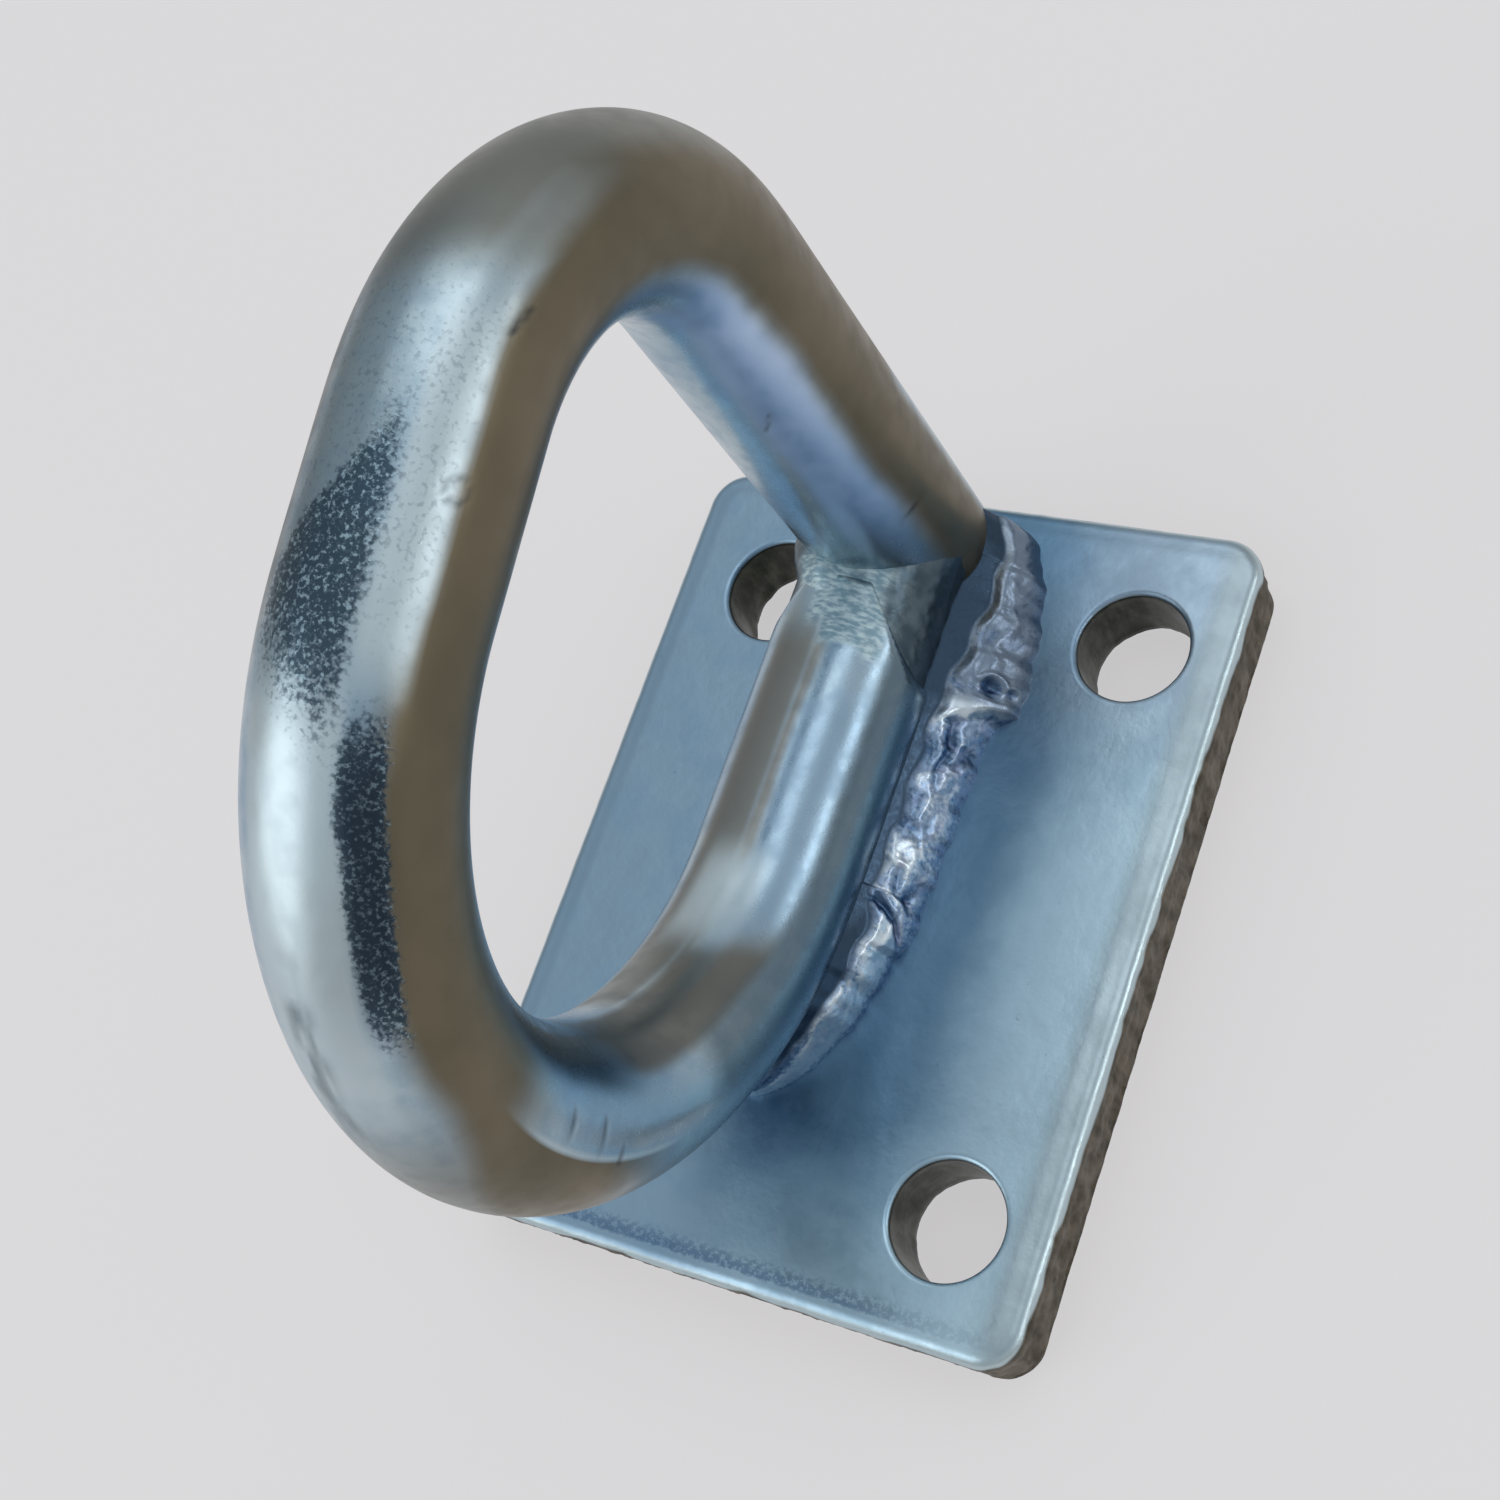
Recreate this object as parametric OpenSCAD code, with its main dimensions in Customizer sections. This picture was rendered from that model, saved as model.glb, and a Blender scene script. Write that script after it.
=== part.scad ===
// Tow ring: a round bar bent to a D-shaped eye and welded upright on a plate with four bolt holes.
// Origin: the middle of the four bolt holes, on the plate's back face.
// +Z points out of the front face, +Y points to the plate's end that carries the ring's leg.

/* [Plate] */
// Width of the plate, across the ring
plate_w = 75; // [68:1:120]
// Length of the plate, along the ring
plate_l = 100; // [100:1:150]
// Thickness of the plate
plate_t = 10; // [6:0.5:16]
// Radius of the plate's corners, seen from the front
corner_r = 5; // [3:0.5:7]
// Radius of the roll-over along the sheared front edges
edge_roll_r = 1.4; // [0.6:0.2:2]
// How far the bolt holes sit to the right of the plate's middle
pattern_shift_x = 1.2; // [-2:0.1:2]
// How far the bolt holes sit towards the leg's end, from the plate's middle
pattern_shift_y = -0.8; // [-2:0.1:2]

/* [Bolt holes] */
// Diameter of the bolt holes
hole_d = 13.5; // [9:0.5:15]
// Distance between the holes across the plate
hole_spacing_x = 48; // [46:1:50]
// Distance between the holes along the plate
hole_spacing_y = 70; // [60:1:74]
// Roll-in of the punched rim, along the hole and out from it
hole_roll = 0.7; // [0.3:0.1:1.2]

/* [Ring] */
// Diameter of the bent bar
bar_d = 20; // [16:0.5:22]
// Place of the ring's plane, to the right of the holes' middle
ring_x = -5; // [-6:0.1:-3]
// Place of the leg's axis along the plate
leg_y = 41; // [39:0.5:42]
// Length that lies on the plate, from the leg's axis to the first bend
flat_len = 42.8; // [40:0.2:50]
// Radius of the large front bend, at the bar's middle
front_bend_r = 41.6; // [38:0.2:50]
// Angle of the large front bend
front_bend_angle = 170; // [162:1:176]
// Radius of the tighter top bend, at the bar's middle
top_bend_r = 28.2; // [24:0.2:32]

/* [Butt joint] */
// Gap between the bar's squared root face and the leg
root_gap = 1; // [0.6:0.1:2]
// Width of the root face that the two bevels leave
root_face_w = 8; // [4:0.5:12]
// Length of the two bevels, back along the bar
bevel_len = 8.8; // [5:0.2:11]
// How far the weld metal lies below the bar's surface at the sides of the groove
groove_sag = 0.6; // [0.3:0.1:1.2]
// How far the butt weld climbs the leg, left of the bar's middle
crown_climb = 1.2; // [0.6:0.2:3]
// Length over which the butt weld runs up to the leg
crown_len = 5; // [4:0.5:8]

/* [Fillet welds] */
// Height at which the fillet meets the bar, above the plate
fillet_rise = 7.4; // [5:0.2:8]
// Reach of the wide first run past the bar's side
pad_leg = 8.3; // [6:0.1:10]
// Length of the wide first run below the leg's axis
pad_len = 18; // [14:0.5:22]
// How far the first run goes past the leg's axis, round the leg
pad_over_leg = 6; // [4:0.5:8]
// Reach of the second run past the bar's side
run_leg = 5.6; // [4:0.1:7]
// Where the second run laps over the third, past the first bend's start
lap_past_bend = 5.5; // [3:0.5:9]
// Reach of the third run past the bar's side where it starts
tip_leg = 3.4; // [2:0.1:5]
// How far the bead on the right follows the bar as it lifts off the plate
right_past_bend = 26; // [18:0.5:30]
// Reach of the bead on the left past the bar's side, away from the bolt hole
left_leg = 5; // [3:0.2:7]
// How far the bead on the left follows the bar
left_past_bend = 21; // [15:0.5:30]
// Convexity of the bead
bead_bulge = 1.2; // [0.4:0.1:2]
// Pitch of the bead's ripples
ripple_pitch = 2.7; // [2:0.1:5]
// Height of the bead's ripples
ripple_h = 0.32; // [0.1:0.02:0.5]

/* [Hidden] */

$fn = 96;
overcut = 1;
bar_r = bar_d / 2;
hole_r = hole_d / 2;
roll_steps = 5;

// Middle of the plate, seen from the middle of the holes
plate_x = -pattern_shift_x;
plate_y = -pattern_shift_y;

// The bends draw the bar a touch thinner, and the straights reach this far into them
bend_bar_r = bar_r - 0.02;
bend_lap = 0.3;

// The ring's centre line lies in the plane x = ring_x: flat, front bend, short straight, top bend, leg
bar_z = plate_t + bar_r;
bend_y = leg_y - flat_len;
front_bend_z = bar_z + front_bend_r;
top_bend_angle = 270 - front_bend_angle;
rise_sin = sin(front_bend_angle);
rise_cos = -cos(front_bend_angle);
crest_len = (flat_len + front_bend_r * rise_sin - top_bend_r * (1 + rise_sin)) / rise_cos;
crest_y = bend_y - front_bend_r * rise_sin;
crest_z = front_bend_z + front_bend_r * rise_cos;
top_bend_y = leg_y - top_bend_r;
top_bend_z = crest_z + crest_len * rise_sin - top_bend_r * rise_cos;

// The bar's first end stops at the leg, and its bevels start at the bar's widest
start_y = leg_y - bar_r - root_gap;
bevel_start_y = start_y - bevel_len;

// The beads' inner edges stand a little above the line where they meet the bar, and the butt weld stands on them
inner_rise = 1.08;
split_z = plate_t + fillet_rise * inner_rise;

// The beads keep this far from the middle of a bolt hole
clear_r = hole_r + hole_roll + 0.4;

// Each bead: reach of the wide run, of the second run, middle of the bolt hole beside it, length past the bend, seed
right_bead = [pad_leg, run_leg, hole_spacing_x / 2 - ring_x, right_past_bend, 20];
left_bead = [left_leg, left_leg, hole_spacing_x / 2 + ring_x, left_past_bend, 75];

// The colours of the plated steel and of the weld metal
plate_colour = [0.52, 0.60, 0.68];
bar_colour = [0.60, 0.66, 0.70];
weld_colour = [0.66, 0.72, 0.78];

function clamp01(v) = min(1, max(0, v));

function ease(v) = let (u = clamp01(v)) u * u * (3 - 2 * u);

function mix(a, b, v) = a + (b - a) * v;

// Joins equal rings of points to a closed solid with a fan cap at each end
module skin(rings) {
    count = len(rings[0]);
    last = len(rings) - 1;
    points = [for (ring = rings) each ring];
    sides = [
        for (i = [0:last - 1])
            for (j = [0:count - 1])
                let (k = (j + 1) % count)
                    each [
                        [i * count + j, i * count + k, (i + 1) * count + k],
                        [i * count + j, (i + 1) * count + k, (i + 1) * count + j]
                    ]
    ];
    first_cap = [for (j = [1:count - 2]) [0, j + 1, j]];
    last_cap = [for (j = [1:count - 2]) [last * count, last * count + j, last * count + j + 1]];
    polyhedron(points, concat(first_cap, sides, last_cap));
}

// Half the edge profile of the plate: a square edge at the back, a rolled edge at the front
module edge_profile(reach) {
    arc = [
        for (i = [0:roll_steps])
            let (a = 90 * i / roll_steps)
                [reach - edge_roll_r * (1 - cos(a)), plate_t - edge_roll_r * (1 - sin(a))]
    ];
    polygon(concat([[0, 0], [reach, 0]], arc, [[0, plate_t]]));
}

module plate_blank() {
    core_w = plate_w - 2 * corner_r;
    core_l = plate_l - 2 * corner_r;
    translate([-core_w / 2, -core_l / 2, 0])
        cube([core_w, core_l, plate_t]);
    for (side = [0:1]) {
        rotate([0, 0, 180 * side])
            translate([core_w / 2, core_l / 2, 0])
                rotate([90, 0, 0])
                    linear_extrude(core_l)
                        edge_profile(corner_r);
        rotate([0, 0, 180 * side])
            translate([-core_w / 2, core_l / 2, 0])
                rotate([90, 0, 90])
                    linear_extrude(core_w)
                        edge_profile(corner_r);
    }
    for (sx = [-1, 1])
        for (sy = [-1, 1])
            translate([sx * core_w / 2, sy * core_l / 2, 0])
                rotate([0, 0, corner_turn(sx, sy)])
                    rotate_extrude(angle = 90)
                        edge_profile(corner_r);
}

// Turn of the quarter round at each corner
function corner_turn(sx, sy) = sx > 0 ? (sy > 0 ? 0 : 270) : (sy > 0 ? 90 : 180);

module bolt_hole() {
    translate([0, 0, -overcut])
        cylinder(h = plate_t + 2 * overcut, r = hole_r);
    translate([0, 0, plate_t - hole_roll])
        cylinder(h = 2 * hole_roll, r1 = hole_r, r2 = hole_r + 2 * hole_roll);
}

module base_plate() {
    color(plate_colour)
        difference() {
            translate([plate_x, plate_y, 0])
                plate_blank();
            for (sx = [-1, 1])
                for (sy = [-1, 1])
                    translate([sx * hole_spacing_x / 2, sy * hole_spacing_y / 2, 0])
                        bolt_hole();
        }
}

// A bend of the bar in the ring's plane, about a middle given by y and z
module bend(y, z, radius, from, angle) {
    translate([ring_x, y, z])
        rotate([90, 0, 90])
            rotate([0, 0, from])
                rotate_extrude(angle = angle)
                    translate([radius, 0])
                        circle(r = bend_bar_r);
}

// A straight of the bar in the ring's plane, from y and z, turned up from the -Y direction
module straight(y, z, before, length, turn) {
    translate([ring_x, y, z])
        rotate([90 - turn, 0, 0])
            translate([0, 0, -before])
                cylinder(h = before + length, r = bar_r);
}

// Takes the two corners off the bar's first end, seen from above, for the weld groove
module bevel_cuts() {
    slope = bevel_len / (bar_r - root_face_w / 2);
    out = bar_r - root_face_w / 2 + overcut;
    for (side = [-1, 1])
        translate([ring_x, start_y, 0])
            linear_extrude(bar_z + bar_d)
                polygon([
                    [side * root_face_w / 2, 0],
                    [side * (root_face_w / 2 + out), -out * slope],
                    [side * (root_face_w / 2 + out), overcut],
                    [side * root_face_w / 2, overcut]
                ]);
}

module bent_bar() {
    difference() {
        straight(start_y, bar_z, 0, start_y - bend_y + bend_lap, 0);
        bevel_cuts();
    }
    bend(bend_y, front_bend_z, front_bend_r, -90 - front_bend_angle, front_bend_angle);
    straight(crest_y, crest_z, bend_lap, crest_len + bend_lap, front_bend_angle);
    bend(top_bend_y, top_bend_z, top_bend_r, 0, top_bend_angle);
    straight(leg_y, top_bend_z, bend_lap, top_bend_z - plate_t, 270);
}

module ring_bar() {
    color(bar_colour)
        bent_bar();
}

// Weld beads. A station is named by its distance d from the leg's axis, towards the first bend.

// How far past the first bend's start a station lies
function past_bend(d) = max(0, d - flat_len);

// Height of the bar's middle above the plate, where it lifts off
function bar_height(d) = bar_r + front_bend_r - sqrt(front_bend_r * front_bend_r - pow(past_bend(d), 2));

// Half the bar's or leg's width at the fillet's height
function flank_x(d) = d < 0 ? sqrt(bar_r * bar_r - d * d) : sqrt(bar_r * bar_r - pow(bar_r - fillet_rise, 2));

// Narrowing of the bead under the bar, to a point at its end
function tip_taper(d, bead) = sqrt(max(0.004, 1 - pow(past_bend(d) / bead[3], 2)));

// Farthest reach that stays clear of the bolt hole beside the leg
function hole_limit(d, bead) = bead[2] - clear_r + pow(leg_y - d - hole_spacing_y / 2, 2) / (2 * clear_r);

// Reach of the bead from the ring's plane, on the plate: three runs that lap
function toe_x(d, bead) =
    let (
        pad_leg = bead[0],
        pad_span = pad_len + pad_over_leg + 1,
        pad = pad_leg * sqrt(max(0, 1 - pow((pad_len - d) / pad_span, 2))),
        lap = flat_len + lap_past_bend,
        run = mix(bead[1], tip_leg + 0.9, clamp01((d - pad_len) / (lap - pad_len))),
        after_pad = d < pad_len ? pad : mix(pad_leg, run, ease((d - pad_len) / 3)),
        after_lap = mix(after_pad, tip_leg, ease((d - lap) / 1.2)),
        wander = 0.28 * sin(131 * d + bead[4]) + 0.2 * sin(57 * d + 2 * bead[4])
    )
        min(bar_r + after_lap + wander, max(bar_r + 0.5, hole_limit(d, bead))) * tip_taper(d, bead);

// Height at which the bead meets the bar, above the plate
function meet_height(d, bead) =
    let (
        under = bar_height(d) - sqrt(bar_r * bar_r - pow(min(flank_x(d), toe_x(d, bead) - 1.5), 2)),
        low_end = mix(fillet_rise + 1.5, 3.2, ease((past_bend(d) / bead[3] - 0.7) / 0.3))
    )
        past_bend(d) == 0 ? fillet_rise : min(max(fillet_rise, under + 0.6), low_end);

// Distance from the ring's plane at which the bead meets the bar
function meet_x(d, bead) =
    let (flank = flank_x(d) - 0.8)
        past_bend(d) == 0 ? flank : min(flank, toe_x(d, bead) * 0.72);

// Ripples of the bead: crescents that trail towards the plate, and slow lumps
function ripple(d, t, seed) =
    ripple_h * (
        cos(360 * (d + 1.6 * pow(2 * t - 1, 2)) / ripple_pitch + seed)
        + 0.7 * sin(97 * d + 210 * t + seed)
        + 0.5 * sin(41 * d - 330 * t + 3 * seed)
    );

// Inner side of the bead: clear of the thin gap where the bar touches the plate
function root_x(d, bead) = mix(3, 0.1, ease((past_bend(d) - 7) / 8)) * tip_taper(d, bead);

function bead_section(d, bead) =
    let (
        toe = toe_x(d, bead),
        rise = meet_height(d, bead),
        run_in = toe - meet_x(d, bead),
        chord = norm([run_in, rise]),
        full = min(1, chord / fillet_rise, run_in / 4.5),
        sides = [-0.17, 0.07, 0.19, 0.32, 0.45, 0.58, 0.71, 0.84, 0.97, inner_rise]
    )
        concat(
            [[root_x(d, bead), -d, -0.17 * rise]],
            [
                for (t = sides)
                    let (
                        swell = t > 0 && t < 1 ? (bead_bulge + ripple(d, t, bead[4])) * sin(180 * t) : 0,
                        out = swell * full
                    )
                        [toe - run_in * t + out * rise / chord, -d, rise * t + out * run_in / chord]
            ],
            [[root_x(d, bead), -d, rise * inner_rise]]
        );

// A fillet bead on the right of the ring, up to its end past the bend
module bead_run(bead) {
    station_step = 0.8;
    end = flat_len + bead[3];
    stations = [each [-pad_over_leg:station_step:end - 0.4], end - 0.1];
    translate([ring_x, leg_y, plate_t])
        skin([for (d = stations) bead_section(d, bead)]);
}

// What the beads seat on: the front bend and the straights of the bar, and the plate
module bead_seat() {
    bent_bar();
    translate([ring_x - plate_w, leg_y - plate_l * 2, plate_t - 3])
        cube([2 * plate_w, 3 * plate_l, 3]);
}

module fillet_weld_right() {
    color(weld_colour)
        difference() {
            bead_run(right_bead);
            bead_seat();
        }
}

module fillet_weld_left() {
    color(weld_colour)
        difference() {
            translate([2 * ring_x, 0, 0])
                mirror([1, 0, 0])
                    bead_run(left_bead);
            bead_seat();
        }
}

// Radius of the butt weld about the bar's axis, at an angle from the top and a place before the leg
function plug_radius(angle, y) =
    let (
        across = min(bar_r, bar_r * abs(sin(angle))),
        to_leg = leg_y - sqrt(bar_r * bar_r - across * across) - y,
        near_leg = clamp01(1 - to_leg / crown_len),
        crown = ease((42 - abs(angle + 36)) / 22) * ease(near_leg),
        grain = 0.1 * sin(80 * y + 3 * angle) + 0.08 * sin(9 * angle - 50 * y)
    )
        bar_r - groove_sag * (1 - 0.6 * near_leg) * (1 - crown) + crown_climb * crown + grain;

function plug_section(y) =
    let (
        low = split_z - bar_z,
        widest = acos(low / bar_r),
        count = 26
    )
        concat(
            [[0, y, low]],
            [
                for (i = [0:count])
                    let (a = mix(-widest, widest, i / count), r = plug_radius(a, y))
                        [r * sin(a), y, i == 0 || i == count ? low : max(low + 0.05, r * cos(a))]
            ]
        );

// Weld metal that fills the groove between the bar's bevelled end and the leg
module butt_weld() {
    from_y = bevel_start_y - 2;
    to_y = leg_y - 1;
    steps = 16;
    color(weld_colour)
        difference() {
            translate([ring_x, 0, bar_z])
                skin([for (i = [steps:-1:0]) plug_section(mix(from_y, to_y, i / steps))]);
            bent_bar();
        }
}

base_plate();
ring_bar();
butt_weld();
fillet_weld_right();
fillet_weld_left();
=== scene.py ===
# %% [markdown]
# # A welded tow ring on its plate
# A tow ring is a thick steel bar, bent to an eye and welded upright on a plate that bolts down.
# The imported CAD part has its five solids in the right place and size, so it is the frame of this scene.
# Each solid is rebuilt with the finer form that the photograph shows, and the new piece stands for it.

import math
from functools import partial

import bpy
import numpy as np
from mathutils import Matrix, Vector, geometry


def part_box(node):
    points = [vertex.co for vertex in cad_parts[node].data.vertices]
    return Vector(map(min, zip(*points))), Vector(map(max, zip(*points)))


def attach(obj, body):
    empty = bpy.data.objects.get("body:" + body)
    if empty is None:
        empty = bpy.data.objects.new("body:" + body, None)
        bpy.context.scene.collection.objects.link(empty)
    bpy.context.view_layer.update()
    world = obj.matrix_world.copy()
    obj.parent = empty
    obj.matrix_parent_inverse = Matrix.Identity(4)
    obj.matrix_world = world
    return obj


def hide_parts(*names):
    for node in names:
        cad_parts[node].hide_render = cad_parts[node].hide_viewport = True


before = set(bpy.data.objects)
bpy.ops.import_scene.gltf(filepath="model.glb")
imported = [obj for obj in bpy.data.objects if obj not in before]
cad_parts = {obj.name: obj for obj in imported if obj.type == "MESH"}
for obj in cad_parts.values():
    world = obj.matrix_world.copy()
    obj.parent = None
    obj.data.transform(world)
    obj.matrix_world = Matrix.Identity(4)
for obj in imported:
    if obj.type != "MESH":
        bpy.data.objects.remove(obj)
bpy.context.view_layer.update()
print("nodes:", sorted(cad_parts))

# %% [markdown]
# ## Places and sizes
# The real ring is made of stock sizes: 20 mm round bar on 10 mm plate.
# All work is in millimetres, as on a drawing, and becomes metres when a mesh is made.
# Places are read from the boxes of the CAD nodes, so that no piece can drift away from the frame.

# %% Places of the plate and the ring
MM = 0.001
plate_low, plate_high = [np.array(c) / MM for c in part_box("base_plate")]
bar_low, bar_high = [np.array(c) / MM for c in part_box("ring_bar")]
PLATE_T = plate_high[2]
RING_X = (bar_low[0] + bar_high[0]) / 2
BAR_R = (bar_high[0] - bar_low[0]) / 2
BAR_Z = PLATE_T + BAR_R
LEG_Y = bar_high[1] - BAR_R
print("bar radius", round(BAR_R, 2), "leg at y", round(LEG_Y, 2), "ring plane at x", round(RING_X, 2))

# %% [markdown]
# ## Small tools
# Real steel is never quite smooth or straight, so most shapes here get a little noise.
# Blender has noise textures, but they act on a finished mesh. Noise worked out in numpy can also move the
# points while they are laid, and it gives the same points in each run, because its seeds are written down.

# %% Smooth steps
def ease(v):
    """0 up to 0, 1 from 1 on, and a smooth step between."""
    u = np.clip(v, 0, 1)
    return u * u * (3 - 2 * u)


def band(v, low, high, soft):
    """1 between low and high, easing to 0 over soft on both sides."""
    return ease((v - low) / soft + 0.5) * ease((high - v) / soft + 0.5)


def ridge(v, at, width):
    """1 where v is at a place, fading over a width on both sides."""
    return np.exp(-(((v - at) / width) ** 2))


def strongest(*shares):
    """The largest of some shares at each point."""
    return np.maximum.reduce(np.broadcast_arrays(*shares))


print("a band from 2 to 4 at 1, 2 and 3:", [round(float(band(v, 2, 4, 1)), 2) for v in (1, 2, 3)])


# %% Noise with a seed
def lattice_noise(x, y, z, seed):
    """Value noise from -1 to 1: a hash at whole coordinates, eased in between."""
    x, y, z = np.broadcast_arrays(np.asarray(x, float), np.asarray(y, float), np.asarray(z, float))
    ix, iy, iz = np.floor(x).astype(np.int64), np.floor(y).astype(np.int64), np.floor(z).astype(np.int64)
    fx, fy, fz = ease(x - ix), ease(y - iy), ease(z - iz)

    def corner(dx, dy, dz):
        # Large odd factors scatter neighbouring corners, and the shifts mix their high and low bits
        h = (ix + dx) * 374761393 + (iy + dy) * 668265263 + (iz + dz) * 2147483647 + seed * 974634777
        h = (h ^ (h >> 13)) * 1274126177
        h = h ^ (h >> 16)
        return (h & 0xFFFF) / 32767.5 - 1

    total = 0
    for dx in (0, 1):
        for dy in (0, 1):
            for dz in (0, 1):
                wx = fx if dx else 1 - fx
                wy = fy if dy else 1 - fy
                wz = fz if dz else 1 - fz
                total = total + wx * wy * wz * corner(dx, dy, dz)
    return total


def rough(x, y, z, seed, octaves=3):
    """Layers of noise, each half as large and half as strong."""
    return sum(lattice_noise(x * 2**i, y * 2**i, z * 2**i, seed + i) * 0.5**i for i in range(octaves))


print("noise at three places:", np.round(rough(np.array([0.2, 1.4, 2.7]), 0.5, 0, 1), 3))


# %% Rows of points become a mesh
def piece(name, verts, faces, node):
    """A smooth mesh in the row frame that stands for a CAD node and moves with the body."""
    mesh = bpy.data.meshes.new(name)
    mesh.from_pydata((np.asarray(verts, float) * MM).tolist(), [], faces)
    mesh.validate()
    mesh.polygons.foreach_set("use_smooth", [True] * len(mesh.polygons))
    mesh.update()
    obj = bpy.data.objects.new(name, mesh)
    bpy.context.scene.collection.objects.link(obj)
    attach(obj, "root")
    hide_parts(node)
    print(name, len(mesh.polygons), "faces")
    return obj


def paint(obj, name, values):
    """One value per vertex, which the shaders read by its name."""
    layer = obj.data.attributes.new(name, "FLOAT", "POINT")
    layer.data.foreach_set("value", np.asarray(values, np.float32).ravel())


def ring_faces(rows, count, start=0):
    """Quads between closed rows of points that each hold count points."""
    faces = []
    for i in range(rows - 1):
        here = start + i * count
        for j in range(count):
            after = (j + 1) % count
            faces.append([here + j, here + after, here + count + after, here + count + j])
    return faces


def tube_faces(rows, count):
    """Quads between closed rows, with a cap on each end."""
    last = (rows - 1) * count
    caps = [list(range(count - 1, -1, -1)), list(range(last, last + count))]
    return ring_faces(rows, count) + caps


print("a tube of 3 rows of 4 points has", len(tube_faces(3, 4)), "faces")

# %% [markdown]
# ## The bent bar
# The real bar is drawn round steel, bent twice in a former: a large bend at the front and a tighter one on
# top. A Blender curve with a bevel could make it, but a bar that is bent cold also flattens on the outside
# of each bend, and its cut end is bevelled for welding. So its section is swept along a centre line in code,
# where each row of points can differ. A place on the bar is s, in mm along it from the bevelled end.

# %% Centre line of the bar
# Radii of the centre line, and the angles that the former turned
FRONT_R, FRONT_ANGLE = 41.6, math.radians(170)
TOP_R, TOP_ANGLE = 28.2, math.radians(100)
# From the leg's axis to the front bend, and from the bevelled end to the leg's side
FLAT_LEN = 42.8
WELD_GAP = 1.0
BEND_Y = LEG_Y - FLAT_LEN
START_Y = LEG_Y - BAR_R - WELD_GAP
# Length over which the flattening of a bend comes in
BEND_SOFT = 9


def centre_line(step):
    """Points y, z, the outward direction and the share of bending, all along the bar."""
    rise_sin, rise_cos = math.sin(FRONT_ANGLE), -math.cos(FRONT_ANGLE)
    front = np.array([BEND_Y, BAR_Z + FRONT_R])
    crest = np.array([BEND_Y - FRONT_R * rise_sin, front[1] + FRONT_R * rise_cos])
    crest_len = (FLAT_LEN + FRONT_R * rise_sin - TOP_R * (1 + rise_sin)) / rise_cos
    top = np.array([LEG_Y - TOP_R, crest[1] + crest_len * rise_sin - TOP_R * rise_cos])
    lengths = [START_Y - BEND_Y, FRONT_R * FRONT_ANGLE, crest_len, TOP_R * TOP_ANGLE, top[1] - PLATE_T]
    ends = np.cumsum([0] + lengths)
    s = np.linspace(0, ends[-1], int(ends[-1] / step) + 1)
    q, n = np.zeros((len(s), 2)), np.zeros((len(s), 2))
    for i, d in enumerate(s):
        stretch = min(4, int(np.searchsorted(ends, d, side="right")) - 1)
        u = d - ends[stretch]
        if stretch == 0:
            q[i], n[i] = (START_Y - u, BAR_Z), (0, -1)
        elif stretch == 1:
            a = u / FRONT_R
            n[i] = (-math.sin(a), -math.cos(a))
            q[i] = front + FRONT_R * n[i]
        elif stretch == 2:
            n[i] = (-rise_sin, rise_cos)
            q[i] = crest + u * np.array([rise_cos, rise_sin])
        elif stretch == 3:
            a = TOP_ANGLE - u / TOP_R
            n[i] = (math.cos(a), math.sin(a))
            q[i] = top + TOP_R * n[i]
        else:
            q[i], n[i] = (LEG_Y, top[1] - u), (1, 0)
    bent = 0.5 * band(s, ends[1], ends[2], BEND_SOFT) + band(s, ends[3], ends[4], BEND_SOFT)
    return s, q, n, bent


bar_line = centre_line(0.7)
print("bar", round(float(bar_line[0][-1]), 1), "mm long,", len(bar_line[0]), "rows")

# %% [markdown]
# ## Marks and painted light on the bar
# The bar's flank and top mirror brown surroundings, and that is painted on as a brown reflection, with
# painted shade where it mirrors dark and painted highlights where it mirrors light. The zinc itself is rubbed
# pale in places and worn to dark speckles, with painted shade over them. An image could hold that, but here
# each mark is a share from 0 to 1 on every vertex, laid out by its place, so it stays put in every view. The
# degrees go round the bar: 0 is outwards and 90 on the right flank.

# %% Where the patches lie
# Each patch: strength, then from, to and softness in degrees and in mm, then its slant in mm per degree
PATCHES = {
    # A painted reflection of brown surroundings
    "film": (
        (1.00, (-80, 118, 24), (180, 250, 7), 0.05), (0.80, (-90, -38, 14), (150, 190, 14), 0),
        (0.75, (-60, 60, 34), (70, 108, 20), 0), (0.80, (128, 176, 10), (26.5, 61.5, 7), 0.15),
        (0.75, (-180, -142, 12), (6, 72, 8), 0), (0.75, (172, 190, 8), (6, 72, 8), 0),
    ),
    # Painted shade, where the bar mirrors dark surroundings
    "gloom": (
        (0.90, (118, 168, 16), (82, 112, 14), 0), (0.70, (88, 132, 26), (3, 66, 6), 0),
        (0.50, (-50, 24, 26), (150, 184, 16), 0), (0.40, (140, 180, 16), (254, 300, 12), 0),
    ),
    # Speckled wear, with painted shade over it
    "speckle": ((0.20, (-40, 60, 20), (150, 182, 16), 0),),
    # Painted highlights, and a rubbed oval is added to them below
    "pale": (
        (0.90, (-28, 33, 10), (112, 148, 8), 0), (1.00, (30, 60, 10), (149, 179, 7), 0),
        (0.40, (28, 58, 18), (176, 194, 12), 0), (0.25, (-70, 45, 30), (176, 214, 14), 0),
    ),
    # A painted blue highlight down the leg
    "blue": ((1.00, (122, 160, 14), (208, 264, 16), 0),),
}

# Scratches and ticks: two places on the bar as mm and degrees, then the width in mm
SCRATCHES = (
    ((264.6, 126), (263.8, 101), 0.26), ((178.0, 61), (180.0, 64), 0.30), ((95.0, 82), (94.4, 103), 0.24),
    ((88.6, 79), (88.2, 102), 0.22), ((84.2, 77), (83.8, 92), 0.22), ((236.0, 150), (238.5, 158), 0.22),
)
SCRATCH_STRENGTH = 0.75
DIMPLE_S, DIMPLE_DEG, DIMPLE_R = 164.2, 58, 1.1
MM_PER_DEG = math.radians(BAR_R)
print(sum(len(rows) for rows in PATCHES.values()), "patches and", len(SCRATCHES), "scratches")


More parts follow.
